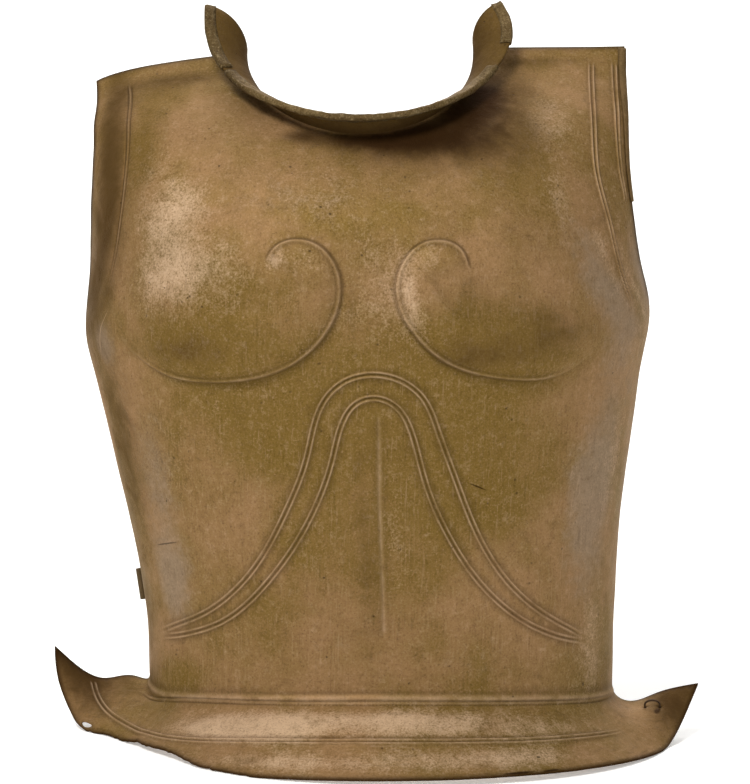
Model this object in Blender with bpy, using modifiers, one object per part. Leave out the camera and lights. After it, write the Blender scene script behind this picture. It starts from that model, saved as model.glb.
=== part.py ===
# Front plate of an archaic bronze muscle cuirass, standing on its flared rim.
# Metres, +Z up, the chest faces -Y. The plate is shaped in its own frame first, with the seam
# towards the back plate at y = 0 and the rim at z = 0, and is then stood on its rim.

import math
from collections import namedtuple

import bmesh
import bpy
import numpy as np
from mathutils import Matrix, Vector
from mathutils.geometry import delaunay_2d_cdt

# Main sizes
SHOULDER_HEIGHT = 0.443
CHEST_HALF_WIDTH = 0.180
CHEST_DEPTH = 0.137
WAIST_HEIGHT = 0.041
WAIST_HALF_WIDTH = 0.150
WAIST_DEPTH = 0.118
RIM_HALF_WIDTH = 0.191
RIM_DEPTH = 0.168
RIM_POINT_REACH = 0.016
LEFT_POINT_RISE = 0.059
RIGHT_POINT_RISE = 0.035
SHEET = 0.0015
CLEARANCE = 0.0003

# Neck opening and collar
NECK_HALF_WIDTH = 0.073
NECK_DROP = 0.0935
COLLAR_HEIGHT = 0.040
EDGE_STRIP_WIDTH = 0.0062
EDGE_STRIP_SHEET = 0.0009

# Raised work
SPIRAL_RIDGE_WIDTH = 0.0046
SPIRAL_RIDGE_HEIGHT = 0.0008
PAIR_SPACING = 0.0027
PAIR_RIDGE_WIDTH = 0.0024
PAIR_RIDGE_HEIGHT = 0.0007
WAIST_RIDGE_WIDTH = 0.0090
WAIST_RIDGE_HEIGHT = 0.0016
MIDDLE_GROOVE_WIDTH = 0.0085
MIDDLE_GROOVE_DEPTH = 0.0013
PECTORAL_RISE = 0.0050
SPIRAL_STEP = 0.0022
SPIRAL_STEP_SPREAD = 0.020

# Small fittings
ARM_STRIP_WIDTH = 0.0042
ARM_STRIP_SHORT = 0.0025
HINGE_RADIUS = 0.0024
HINGE_PIN_RADIUS = 0.0011
HINGE_LENGTH = 0.020
HINGE_LEAF_SHEET = 0.0010
HINGE_LEAF_REACH = 0.012
HINGE_STAND_OFF = 0.0013
STAPLE_WIDTH = 0.0095
STAPLE_HEIGHT = 0.0050
STAPLE_WIRE_RADIUS = 0.00065
STAPLE_HOLE_PLAY = 0.0005
RIM_HOLE_LENGTH = 0.0110
RIM_HOLE_WIDTH = 0.0031

# Fineness of the faceted sheet
FIELD_STEP = 0.0165
RIDGE_STEP = 0.0105
EDGE_STEP = 0.0120
NECK_STEP = 0.0085
TRACE_STEP = 0.0020

# Level sections of the trunk above the waist line.
# up: share of the way from the waist line to the shoulder top; width: share of the chest's half
# width; depth: share of the chest's depth; square: exponent of the section's oval;
# shift: sideways shift, share of the chest's half width; dip: how much lower the sides lie than
# the front, and left, right: how much higher each edge ends, shares of the shoulder height;
# bend: angle from the front at which that rise begins.
Section = namedtuple("Section", "up width depth square shift dip left right bend")
TRUNK = (
    Section(0.028, 0.827, 0.856, 2.15, 0.014, 0.023, 0.009, 0.000, 60),
    Section(0.085, 0.830, 0.864, 2.15, 0.014, 0.011, 0.000, 0.000, 60),
    Section(0.148, 0.842, 0.883, 2.15, 0.009, 0.004, 0.000, 0.000, 60),
    Section(0.235, 0.866, 0.905, 2.20, -0.004, 0.000, 0.000, 0.000, 60),
    Section(0.330, 0.902, 0.927, 2.25, -0.017, 0.000, 0.000, 0.000, 60),
    Section(0.418, 0.938, 0.949, 2.30, -0.025, 0.000, -0.002, 0.002, 60),
    Section(0.498, 0.972, 0.971, 2.35, -0.033, 0.000, -0.008, 0.007, 58),
    Section(0.567, 0.999, 0.993, 2.40, -0.033, 0.000, -0.016, 0.014, 55),
    Section(0.643, 0.983, 1.000, 2.45, -0.036, 0.000, -0.013, 0.011, 52),
    Section(0.735, 0.975, 0.934, 2.60, -0.042, 0.000, -0.012, 0.008, 45),
    Section(0.812, 0.972, 0.781, 2.75, -0.050, 0.000, -0.020, 0.006, 36),
    Section(0.865, 0.975, 0.628, 2.90, -0.053, 0.000, -0.032, 0.005, 30),
    Section(0.900, 0.983, 0.482, 3.00, -0.056, 0.000, -0.048, 0.005, 26),
    Section(0.932, 0.989, 0.328, 3.00, -0.056, 0.000, -0.066, 0.005, 22),
    Section(0.965, 0.994, 0.182, 3.00, -0.057, 0.000, -0.082, 0.005, 13),
    Section(1.000, 1.000, 0.073, 3.00, -0.058, 0.000, -0.102, 0.005, 7),
)
ARMPIT_ROW = 7

# The flare below the waist line. down: share of the drop to the rim; out: share of the spread
# from the waist to the rim; square as above; dip: share of the waist height;
# left, right: share of each rim point's rise; reach: share of the rim points' reach.
Flare = namedtuple("Flare", "down out square dip left right reach bend")
FLARE = (
    Flare(1.00, 1.00, 2.00, 0.00, 1.00, 1.00, 1.00, 74),
    Flare(0.53, 0.53, 2.02, 0.22, 0.48, 0.52, 0.42, 62),
    Flare(0.20, 0.19, 2.08, 0.34, 0.36, 0.14, 0.10, 60),
    Flare(0.00, 0.00, 2.12, 0.30, 0.16, 0.03, 0.00, 60),
)

# Where the sheet ends at the arm openings, as angles from the front.
# up: share of the way from the armpit to the shoulder top.
ArmEdge = namedtuple("ArmEdge", "up left right")
ARM_EDGE = (
    ArmEdge(0.00, 90.0, 90.0),
    ArmEdge(0.13, 82.5, 76.5),
    ArmEdge(0.30, 73.5, 67.0),
    ArmEdge(0.52, 66.0, 63.0),
    ArmEdge(0.74, 60.5, 60.0),
    ArmEdge(1.00, 58.5, 58.5),
)

# Metal missing along the lower edge at the left.
# across: share of the half width; up: share of the sheet's height that is gone.
RimLoss = namedtuple("RimLoss", "across up")
RIM_LOSS = (
    RimLoss(-0.955, 0.000),
    RimLoss(-0.890, 0.004),
    RimLoss(-0.862, 0.009),
    RimLoss(-0.790, 0.034),
    RimLoss(-0.660, 0.044),
    RimLoss(-0.510, 0.032),
    RimLoss(-0.390, 0.010),
    RimLoss(-0.260, 0.000),
)

# The collar's wall around the neck. turn: angle from the front; long: share of the collar's
# height; root, lip: lean outwards from upright at its foot and at its lip.
Wall = namedtuple("Wall", "turn long root lip")
COLLAR = (
    Wall(-90, 1.04, 0, 80),
    Wall(-80, 0.80, 22, 86),
    Wall(-64, 0.56, 40, 90),
    Wall(-45, 0.46, 38, 84),
    Wall(0, 0.47, 30, 78),
    Wall(45, 0.46, 38, 84),
    Wall(64, 0.56, 36, 86),
    Wall(78, 0.86, 14, 82),
    Wall(90, 0.88, -12, 70),
)
# Strips folded over the collar's lip, by the turn at which each begins and ends.
COLLAR_STRIPS = (
    ("collar_edge_left", -90, -67),
    ("collar_edge_front", -65, 66),
    ("collar_edge_right", 75, 90),
)

# Lines of the raised work, as knots on the sheet. across: share of the way from the middle to
# the side edge, left negative; up: share of the sheet's height from rim to shoulder top.
# fade: length over which a line rises at its start and dies away at its end.
Line = namedtuple("Line", "kind fade knots")
LINES = (
    Line("spiral", (0.006, 0.060), (
        (-0.244, 0.642), (-0.227, 0.659), (-0.171, 0.668), (-0.103, 0.655), (-0.066, 0.625),
        (-0.066, 0.593), (-0.095, 0.558), (-0.157, 0.527), (-0.235, 0.510), (-0.334, 0.503),
        (-0.458, 0.509), (-0.604, 0.551))),
    Line("spiral", (0.006, 0.050), (
        (0.269, 0.633), (0.263, 0.656), (0.198, 0.667), (0.124, 0.653), (0.079, 0.619),
        (0.081, 0.585), (0.124, 0.547), (0.192, 0.522), (0.296, 0.508), (0.413, 0.507),
        (0.533, 0.533))),
    Line("pair", (0.020, 0.020), (
        (-0.700, 0.204), (-0.484, 0.226), (-0.325, 0.277), (-0.214, 0.349), (-0.152, 0.411),
        (-0.119, 0.462), (-0.085, 0.490), (-0.038, 0.507), (0.017, 0.512), (0.074, 0.505),
        (0.124, 0.484), (0.155, 0.448), (0.204, 0.383), (0.264, 0.315), (0.343, 0.262),
        (0.445, 0.226), (0.590, 0.199))),
    Line("pair", (0.020, 0.020), (
        (-0.650, 0.196), (-0.540, 0.201), (-0.432, 0.216), (-0.272, 0.271), (-0.163, 0.336),
        (-0.091, 0.411), (-0.059, 0.458), (-0.024, 0.479), (0.021, 0.484), (0.063, 0.474),
        (0.096, 0.444), (0.127, 0.386), (0.180, 0.323), (0.251, 0.270), (0.368, 0.222),
        (0.480, 0.200), (0.560, 0.192))),
    Line("middle", (0.020, 0.003), (
        (0.021, 0.466), (0.017, 0.389), (0.010, 0.293), (0.006, 0.203))),
    Line("waist", (0.015, 0.015), (
        (-0.990, 0.134), (-0.760, 0.133), (-0.512, 0.133), (-0.269, 0.130), (0.000, 0.129),
        (0.263, 0.130), (0.525, 0.132), (0.760, 0.132), (0.990, 0.131))),
    Line("pair", (0.004, 0.030), (
        (-0.980, 0.047), (-0.884, 0.053), (-0.741, 0.066), (-0.565, 0.059), (-0.330, 0.058),
        (0.002, 0.059), (0.285, 0.059), (0.485, 0.061), (0.618, 0.064), (0.732, 0.066))),
    Line("pair", (0.006, 0.040), (
        (-0.800, 0.965), (-0.772, 0.880), (-0.749, 0.800), (-0.734, 0.740), (-0.725, 0.690),
        (-0.717, 0.635), (-0.712, 0.595))),
    Line("pair", (0.006, 0.020), (
        (0.794, 0.974), (0.773, 0.833), (0.772, 0.747), (0.790, 0.687), (0.775, 0.625),
        (0.735, 0.580))),
    Line("pair", (0.006, 0.012), (
        (0.918, 0.974), (0.910, 0.853), (0.914, 0.763), (0.935, 0.705))),
)

# The two raised pectorals: middle, half width and half height as shares of the chest's half
# width and of the shoulder height.
Pectoral = namedtuple("Pectoral", "x z wide high")
PECTORALS = (
    Pectoral(-0.514, 0.664, 0.389, 0.128),
    Pectoral(0.467, 0.666, 0.398, 0.127),
)

# Where the small fittings sit on the sheet, as shares like the lines above
HINGE_UP = 0.239
STAPLE_ACROSS = 0.925
STAPLE_UP = 0.057
RIM_HOLE_ACROSS = -0.862
RIM_HOLE_UP = 0.0165
RIM_HOLE_TURN = math.radians(28)
ARM_STRIP_END_UP = 0.712


# Smooth curve through the rows of a table: a natural cubic spline
class Smooth:
    def __init__(self, knots, values):
        self.x = np.array(knots, float)
        self.y = np.array(values, float)
        gap = np.diff(self.x)
        count = len(self.x)
        matrix = np.eye(count)
        right = np.zeros(count)
        for i in range(1, count - 1):
            matrix[i, i - 1:i + 2] = gap[i - 1], 2 * (gap[i - 1] + gap[i]), gap[i]
            right[i] = 6 * ((self.y[i + 1] - self.y[i]) / gap[i] - (self.y[i] - self.y[i - 1]) / gap[i - 1])
        self.bend = np.linalg.solve(matrix, right)

    def __call__(self, at):
        at = np.asarray(at, float)
        i = np.clip(np.searchsorted(self.x, at) - 1, 0, len(self.x) - 2)
        gap = self.x[i + 1] - self.x[i]
        low = (self.x[i + 1] - at) / gap
        high = (at - self.x[i]) / gap
        curve = (low ** 3 - low) * self.bend[i] + (high ** 3 - high) * self.bend[i + 1]
        return low * self.y[i] + high * self.y[i + 1] + curve * gap ** 2 / 6


# Level rows of the whole sheet, rim first, with every size in metres
def level_rows():
    rows = []
    for row in FLARE:
        spread = (RIM_HALF_WIDTH - WAIST_HALF_WIDTH, RIM_DEPTH - WAIST_DEPTH)
        rows.append((
            WAIST_HEIGHT * (1 - row.down),
            WAIST_HALF_WIDTH + spread[0] * row.out,
            WAIST_DEPTH + spread[1] * row.out,
            row.square,
            TRUNK[0].shift * CHEST_HALF_WIDTH * (1 - row.out),
            WAIST_HEIGHT * row.dip,
            LEFT_POINT_RISE * row.left,
            RIGHT_POINT_RISE * row.right,
            math.radians(row.bend),
            RIM_POINT_REACH * row.reach,
        ))
    for row in TRUNK:
        rows.append((
            WAIST_HEIGHT + (SHOULDER_HEIGHT - WAIST_HEIGHT) * row.up,
            CHEST_HALF_WIDTH * row.width,
            CHEST_DEPTH * row.depth,
            row.square,
            CHEST_HALF_WIDTH * row.shift,
            SHOULDER_HEIGHT * row.dip,
            SHOULDER_HEIGHT * row.left,
            SHOULDER_HEIGHT * row.right,
            math.radians(row.bend),
            0.0,
        ))
    return np.array(rows)


ROWS = level_rows()
# Distance up the sheet of each row, measured along the front
ROW_UP = np.concatenate([[0.0], np.cumsum(np.hypot(np.diff(ROWS[:, 0]), np.diff(ROWS[:, 2])))])
SHEET_HEIGHT = ROW_UP[-1]
SHEET_HALF = 0.5 * math.pi * math.sqrt(0.5 * (CHEST_HALF_WIDTH ** 2 + CHEST_DEPTH ** 2))
ARMPIT_UP = ROW_UP[len(FLARE) + ARMPIT_ROW]
COLUMNS = [Smooth(ROW_UP, ROWS[:, i]) for i in range(ROWS.shape[1])]
ARM_UP = [ARMPIT_UP + (SHEET_HEIGHT - ARMPIT_UP) * row.up for row in ARM_EDGE]
ARM_LEFT = Smooth(ARM_UP, [math.radians(row.left) for row in ARM_EDGE])
ARM_RIGHT = Smooth(ARM_UP, [math.radians(row.right) for row in ARM_EDGE])


# The smooth sheet. across runs from -SHEET_HALF at the left edge to SHEET_HALF at the right one,
# up from 0 at the rim to SHEET_HEIGHT at the shoulder top.
def smooth_sheet(across, up):
    across, up = np.broadcast_arrays(np.asarray(across, float), np.asarray(up, float))
    height, half, depth, square, shift, dip, left, right, bend, reach = [c(up) for c in COLUMNS]
    above = np.clip(up, ARMPIT_UP, None)
    limit = np.where(across < 0, ARM_LEFT(above), ARM_RIGHT(above))
    limit = np.where(up <= ARMPIT_UP, math.pi / 2, limit)
    turn = across / SHEET_HALF * limit
    sine, cosine = np.sin(turn), np.cos(turn)
    swell = (np.abs(sine) ** square + np.abs(cosine) ** square) ** (-1 / square)
    end = np.clip((np.abs(turn) - bend) / (math.pi / 2 - bend), 0, None)
    rise = np.where(across < 0, left, right) * end ** 1.6
    outward = np.where(across < 0, smooth_step(end), end ** 1.6)  # the left point bows outwards
    x = shift + (half * swell + reach * outward) * sine
    y = -depth * swell * cosine
    z = height - dip * sine ** 2 + rise
    return np.stack([x, y, z], axis=-1)


def sheet_frame(across, up, step=0.0004):
    across, up = np.broadcast_arrays(np.asarray(across, float), np.asarray(up, float))
    across = np.clip(across, -SHEET_HALF, SHEET_HALF)
    up = np.clip(up, 0, SHEET_HEIGHT)
    low_a = np.clip(across - step, -SHEET_HALF, SHEET_HALF)
    high_a = np.clip(across + step, -SHEET_HALF, SHEET_HALF)
    low_u = np.clip(up - step, 0, SHEET_HEIGHT)
    high_u = np.clip(up + step, 0, SHEET_HEIGHT)
    along = (smooth_sheet(high_a, up) - smooth_sheet(low_a, up)) / (high_a - low_a)[..., None]
    climb = (smooth_sheet(across, high_u) - smooth_sheet(across, low_u)) / (high_u - low_u)[..., None]
    normal = np.cross(along, climb)
    normal /= np.linalg.norm(normal, axis=-1)[..., None]
    return along, climb, normal


def smooth_step(value):
    value = np.clip(value, 0, 1)
    return value * value * (3 - 2 * value)


# A line through its knots, as points on the sheet about one step apart
def line_points(knots, step):
    knots = np.array(knots, float) * (SHEET_HALF, SHEET_HEIGHT)
    way = np.concatenate([[0.0], np.cumsum(np.linalg.norm(np.diff(knots, axis=0), axis=1))])
    across, up = Smooth(way, knots[:, 0]), Smooth(way, knots[:, 1])
    at = np.linspace(0, way[-1], max(2, round(way[-1] / step)) + 1)
    return np.stack([across(at), up(at)], axis=1)


# Points beside a line, the given true distance to its side
def beside(points, distance):
    along, climb, normal = sheet_frame(points[:, 0], points[:, 1])
    run = np.gradient(points, axis=0)
    tangent = along * run[:, :1] + climb * run[:, 1:]
    side = np.cross(normal, tangent)
    side *= distance / np.linalg.norm(side, axis=1)[:, None]
    slopes = np.stack([along, climb], axis=2)
    return points + np.einsum("nij,nj->ni", np.linalg.pinv(slopes), side)


# Each kind of line: how far its crests lie to the sides, their width and height. The middle line
# is sunk into the sheet, so its height is negative.
CRESTS = {
    "spiral": ((0.0,), SPIRAL_RIDGE_WIDTH, SPIRAL_RIDGE_HEIGHT),
    "pair": ((-PAIR_SPACING / 2, PAIR_SPACING / 2), PAIR_RIDGE_WIDTH, PAIR_RIDGE_HEIGHT),
    "waist": ((0.0,), WAIST_RIDGE_WIDTH, WAIST_RIDGE_HEIGHT),
    "middle": ((0.0,), MIDDLE_GROOVE_WIDTH, -MIDDLE_GROOVE_DEPTH),
}


def traced_lines():
    traces = []
    for line in LINES:
        points = line_points(line.knots, TRACE_STEP)
        place = smooth_sheet(points[:, 0], points[:, 1])
        way = np.concatenate([[0.0], np.cumsum(np.linalg.norm(np.diff(place, axis=0), axis=1))])
        strength = smooth_step(way / line.fade[0]) * smooth_step((way[-1] - way) / line.fade[1])
        traces.append((line.kind, place, strength))
    return traces


TRACES = traced_lines()


# Distance from each place to a traced line, the line's strength there, and how far the place
# lies to the line's left, seen from the front
def nearest(places, trace, strength):
    start, run = trace[:-1], np.diff(trace, axis=0)
    offset = places[:, None, :] - start[None]
    share = np.clip((offset * run).sum(2) / (run * run).sum(1), 0, 1)
    gap = np.linalg.norm(offset - share[..., None] * run, axis=2)
    pick = gap.argmin(axis=1)
    rows = np.arange(len(places))
    part = share[rows, pick]
    off, way = offset[rows, pick], run[pick]
    left = (way[:, 0] * off[:, 2] - way[:, 2] * off[:, 0]) / np.linalg.norm(way, axis=1)
    return gap[rows, pick], strength[pick] * (1 - part) + strength[pick + 1] * part, left


def pectoral_rise(places):
    rise = np.zeros(len(places))
    for one in PECTORALS:
        inward = -np.sign(one.x)
        dx = (places[:, 0] - one.x * CHEST_HALF_WIDTH) / (one.wide * CHEST_HALF_WIDTH) * inward
        dz = (places[:, 2] - one.z * SHOULDER_HEIGHT) / (one.high * SHOULDER_HEIGHT)
        radius = np.hypot(dx, dz)
        facing = (0.5 * dx - 0.87 * dz) / np.maximum(radius, 1e-6)
        crisp = smooth_step((facing + 0.3) / 0.7) * smooth_step(radius * 2)
        inside = np.clip(radius, 0, 1)
        rise += crisp * (1 - inside ** 6) + (1 - crisp) * (1 - inside ** 2) ** 2
    return rise * PECTORAL_RISE


def relief(places):
    rise = pectoral_rise(places)
    for kind, trace, strength in TRACES:
        sides, width, height = CRESTS[kind]
        gap, fade, left = nearest(places, trace, strength)
        reach = np.abs(gap - abs(sides[0]))
        rise += height * fade * np.cos(np.pi * np.clip(reach / width, 0, 0.5)) ** 2
        if kind == "spiral":
            inner = left * np.sign(trace[:, 0].mean())
            slope = smooth_step(1 + inner * 2 / width) * np.exp(-gap / SPIRAL_STEP_SPREAD)
            rise += SPIRAL_STEP * fade * np.where(inner > 0, np.exp(-gap / SPIRAL_STEP_SPREAD), slope)
    return rise


def worked_sheet(across, up):
    places = smooth_sheet(across, up)
    normal = sheet_frame(across, up)[2]
    return places + normal * relief(places)[:, None]


# Points along the sheet's outline, in order round it, rim first from left to right
def spaced(start, end, step):
    count = max(1, math.ceil(abs(end - start) / step))
    return np.linspace(start, end, count + 1)


def rim_up(across):
    table = np.array(RIM_LOSS)
    return np.interp(across / SHEET_HALF, table[:, 0], table[:, 1]) * SHEET_HEIGHT


def neck_turns():
    count = 2 * round(0.5 * math.pi * NECK_HALF_WIDTH / NECK_STEP)
    turns = set(np.round(np.linspace(-90, 90, count + 1), 3))
    marks = [mark for name, start, end in COLLAR_STRIPS for mark in (start, end)]
    for mark in marks:
        turns = {turn for turn in turns if abs(turn - mark) > 1.2} | {float(mark)}
    return np.radians(sorted(turns))


def neck_point(turn):
    shift, half, square = ROWS[-1, 4], ROWS[-1, 1], ROWS[-1, 3]
    share = NECK_HALF_WIDTH / half
    edge = math.atan2(share, (1 - share ** square) ** (1 / square))
    limit = 0.5 * (ARM_LEFT(SHEET_HEIGHT) + ARM_RIGHT(SHEET_HEIGHT))
    return np.stack([SHEET_HALF * edge / limit * np.sin(turn),
                     SHEET_HEIGHT - NECK_DROP * np.cos(turn)], axis=-1)


def outline():
    neck = neck_point(neck_turns())
    strip_end = ARM_STRIP_END_UP * SHEET_HEIGHT
    rim = spaced(-SHEET_HALF, SHEET_HALF, EDGE_STEP)
    marks = np.array([row.across for row in RIM_LOSS]) * SHEET_HALF
    rim = rim[np.abs(rim[:, None] - marks).min(axis=1) > EDGE_STEP / 4]
    rim = np.sort(np.concatenate([rim, marks]))
    right = np.concatenate([
        spaced(0, ARMPIT_UP, EDGE_STEP)[:-1],
        spaced(ARMPIT_UP, strip_end, EDGE_STEP)[:-1],
        spaced(strip_end, SHEET_HEIGHT - ARM_STRIP_SHORT, EDGE_STEP),
        [SHEET_HEIGHT]])
    left = np.concatenate([
        spaced(SHEET_HEIGHT, ARMPIT_UP, EDGE_STEP)[:-1],
        spaced(ARMPIT_UP, 0, EDGE_STEP)])
    top_right = spaced(SHEET_HALF, neck[-1, 0], EDGE_STEP)[1:-1]
    top_left = spaced(neck[0, 0], -SHEET_HALF, EDGE_STEP)[1:-1]
    points = [np.stack([rim, rim_up(rim)], axis=1)]
    points.append(np.stack([np.full(len(right) - 1, SHEET_HALF), right[1:]], axis=1))
    points.append(np.stack([top_right, np.full(len(top_right), SHEET_HEIGHT)], axis=1))
    first_neck = sum(len(part) for part in points)
    points.append(neck[::-1])
    points.append(np.stack([top_left, np.full(len(top_left), SHEET_HEIGHT)], axis=1))
    points.append(np.stack([np.full(len(left) - 1, -SHEET_HALF), left[:-1]], axis=1))
    return np.concatenate(points), first_neck, len(neck)


# A small oval on the sheet, measured in true lengths, its long way turned up from level
def oval(across, up, long, wide, turn, sides):
    along, climb, normal = sheet_frame(across, up)
    angles = 2 * math.pi * np.arange(sides) / sides
    level, steep = long / 2 * np.cos(angles), wide / 2 * np.sin(angles)
    ring = np.stack([
        (level * math.cos(turn) - steep * math.sin(turn)) / np.linalg.norm(along),
        (level * math.sin(turn) + steep * math.cos(turn)) / np.linalg.norm(climb)], axis=1)
    return ring + (across, up)


def staple_feet():
    across, up = STAPLE_ACROSS * SHEET_HALF, STAPLE_UP * SHEET_HEIGHT
    climb = np.linalg.norm(sheet_frame(across, up)[1])
    half = STAPLE_WIDTH / 2 / climb
    return [(across, up - half), (across, up + half)]


def holes():
    foot = 2 * (STAPLE_WIRE_RADIUS + STAPLE_HOLE_PLAY)
    rings = [oval(RIM_HOLE_ACROSS * SHEET_HALF, RIM_HOLE_UP * SHEET_HEIGHT,
                  RIM_HOLE_LENGTH, RIM_HOLE_WIDTH, RIM_HOLE_TURN, 12)]
    rings += [oval(across, up, foot, foot, 0.0, 8) for across, up in staple_feet()]
    return rings


def inside(points, ring):
    x, y = points[:, 0], points[:, 1]
    result = np.zeros(len(points), bool)
    for (x0, y0), (x1, y1) in zip(ring, np.roll(ring, -1, axis=0)):
        if y0 == y1:
            continue
        crosses = (y0 > y) != (y1 > y)
        result ^= crosses & (x < x0 + (y - y0) * (x1 - x0) / (y1 - y0))
    return result


def clear_of(points, others, distance):
    if not len(others) or not len(points):
        return points
    keep = np.ones(len(points), bool)
    for start in range(0, len(others), 500):
        part = others[start:start + 500]
        gap = np.linalg.norm(points[:, None] - part[None], axis=2).min(axis=1)
        keep &= gap > distance
    return points[keep]


# Rows of points that carry the raised lines: feet and crests
def line_rows():
    steps = {"spiral": 0.75 * RIDGE_STEP, "pair": RIDGE_STEP, "waist": RIDGE_STEP,
             "middle": RIDGE_STEP}
    found = np.empty((0, 2))
    for line in LINES:
        sides, width, height = CRESTS[line.kind]
        points = line_points(line.knots, steps[line.kind])
        offsets = sorted({0.0, sides[0], sides[-1], sides[0] - width / 2, sides[-1] + width / 2})
        rows = np.concatenate([beside(points, offset) for offset in offsets])
        found = np.concatenate([found, clear_of(rows, found, 0.15 * RIDGE_STEP)])
    return found


def field_points():
    rise = FIELD_STEP * math.sqrt(0.75)
    points = []
    for row, up in enumerate(np.arange(rise / 2, SHEET_HEIGHT, rise)):
        start = -SHEET_HALF + (0.5 * FIELD_STEP if row % 2 else 0.0)
        points += [(across, up) for across in np.arange(start, SHEET_HALF, FIELD_STEP)]
    return np.array(points)


# The sheet's points and triangles, with the outline's points first
def sheet_mesh():
    border, first_neck, neck_count = outline()
    rings = [border] + holes()
    fixed = np.concatenate(rings)
    edges, first = [], 0
    for ring in rings:
        count = len(ring)
        edges += [(first + i, first + (i + 1) % count) for i in range(count)]
        first += count
    span = strip_span(border)
    strip = beside(border[span], ARM_STRIP_WIDTH)
    rows = line_rows()
    rows = rows[inside(rows, border) & ~inside(rows, np.concatenate([border[span], strip[::-1]]))]
    rows = clear_of(clear_of(rows, fixed, 0.21 * RIDGE_STEP), strip, 0.24 * RIDGE_STEP)
    field = field_points()
    field = field[inside(field, border)]
    taken = np.concatenate([fixed, strip, rows])
    field = clear_of(field, taken, 0.56 * FIELD_STEP)
    points = np.concatenate([taken, field])
    result = delaunay_2d_cdt([Vector(point) for point in points], edges, [], 0, 1e-7, True)
    order = [sources[0] for sources in result[3]]
    triangles = np.array([[order[i] for i in face] for face in result[2]])
    middles = points[triangles].mean(axis=1)
    keep = inside(middles, border)
    for ring in rings[1:]:
        keep &= ~inside(middles, ring)
    arm_rows = span, np.arange(len(fixed), len(fixed) + len(strip))
    neck = np.arange(first_neck + neck_count - 1, first_neck - 1, -1)
    return points, triangles[keep], neck, arm_rows


# The outline's points that the folded strip on the right arm edge covers, top last
def strip_span(border):
    on_edge = np.isclose(border[:, 0], SHEET_HALF)
    start, end = ARM_STRIP_END_UP * SHEET_HEIGHT, SHEET_HEIGHT - ARM_STRIP_SHORT
    covered = (border[:, 1] > start - SHEET) & (border[:, 1] < end + CLEARANCE)
    return np.nonzero(on_edge & covered)[0]


# Rings of points up the collar's wall, foot first and lip last, ordered from left to right
def collar_rings(feet, turns):
    turn_rows = [row.turn for row in COLLAR]
    degrees = np.degrees(turns)
    long = Smooth(turn_rows, [row.long * COLLAR_HEIGHT for row in COLLAR])(degrees)
    root = np.radians(Smooth(turn_rows, [row.root for row in COLLAR])(degrees))
    lip = np.radians(Smooth(turn_rows, [row.lip for row in COLLAR])(degrees))
    run = np.gradient(feet[:, :2], axis=0)
    outward = np.stack([run[:, 1], -run[:, 0]], axis=1)
    outward /= np.linalg.norm(outward, axis=1)[:, None]
    outward[[0, -1]] = (-1, 0), (1, 0)
    rings = [feet]
    parts = 24
    place = feet.copy()
    levels = {round(parts * share) for share in (0.30, 0.65)}
    wall = long - EDGE_STRIP_WIDTH
    for i in range(parts):
        lean = root + (lip - root) * (i + 0.5) / parts * wall / long
        place = place + (wall / parts)[:, None] * np.stack(
            [outward[:, 0] * np.sin(lean), outward[:, 1] * np.sin(lean), np.cos(lean)], axis=1)
        if i + 1 in levels or i + 1 == parts:
            rings.append(place)
    lean = lip
    rings.append(place + EDGE_STRIP_WIDTH * np.stack(
        [outward[:, 0] * np.sin(lean), outward[:, 1] * np.sin(lean), np.cos(lean)], axis=1))
    return rings


def link_object(name, mesh, material, parent, collection):
    item = bpy.data.objects.new(name, mesh)
    mesh.materials.append(material)
    item.parent = parent
    collection.objects.link(item)
    return item


def bronze(name, colour, roughness, metallic=0.9):
    material = bpy.data.materials.new(name)
    material.use_nodes = True
    shader = material.node_tree.nodes["Principled BSDF"]
    shader.inputs["Base Color"].default_value = (*colour, 1)
    shader.inputs["Roughness"].default_value = roughness
    shader.inputs["Metallic"].default_value = metallic
    return material


def mesh_from(name, points, faces):
    mesh = bpy.data.meshes.new(name)
    mesh.from_pydata([tuple(point) for point in points], [], [tuple(face) for face in faces])
    mesh.validate()
    return mesh


# The hammered sheet with its collar, one piece of bronze
def make_breastplate(parent, collection):
    flat, triangles, neck, arm_rows = sheet_mesh()
    points = worked_sheet(flat[:, 0], flat[:, 1])
    rings = collar_rings(points[neck], neck_turns())
    index = [neck]
    faces = [list(map(int, face)) for face in triangles]
    for ring in rings[1:]:
        index.append(np.arange(len(ring)) + len(points))
        points = np.concatenate([points, ring])
    for low, high in zip(index, index[1:]):
        for i in range(len(neck) - 1):
            faces.append([int(low[i]), int(low[i + 1]), int(high[i + 1]), int(high[i])])
    mesh = mesh_from("breastplate", points, faces)
    mesh.shade_smooth()
    material = bronze("hammered bronze", (0.30, 0.20, 0.105), 0.42)
    plate = link_object("breastplate", mesh, material, parent, collection)
    wall = plate.modifiers.new("sheet thickness", "SOLIDIFY")
    wall.thickness = SHEET
    wall.offset = -1
    wall.use_even_offset = True
    return plate, index[-2:], arm_rows


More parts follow.
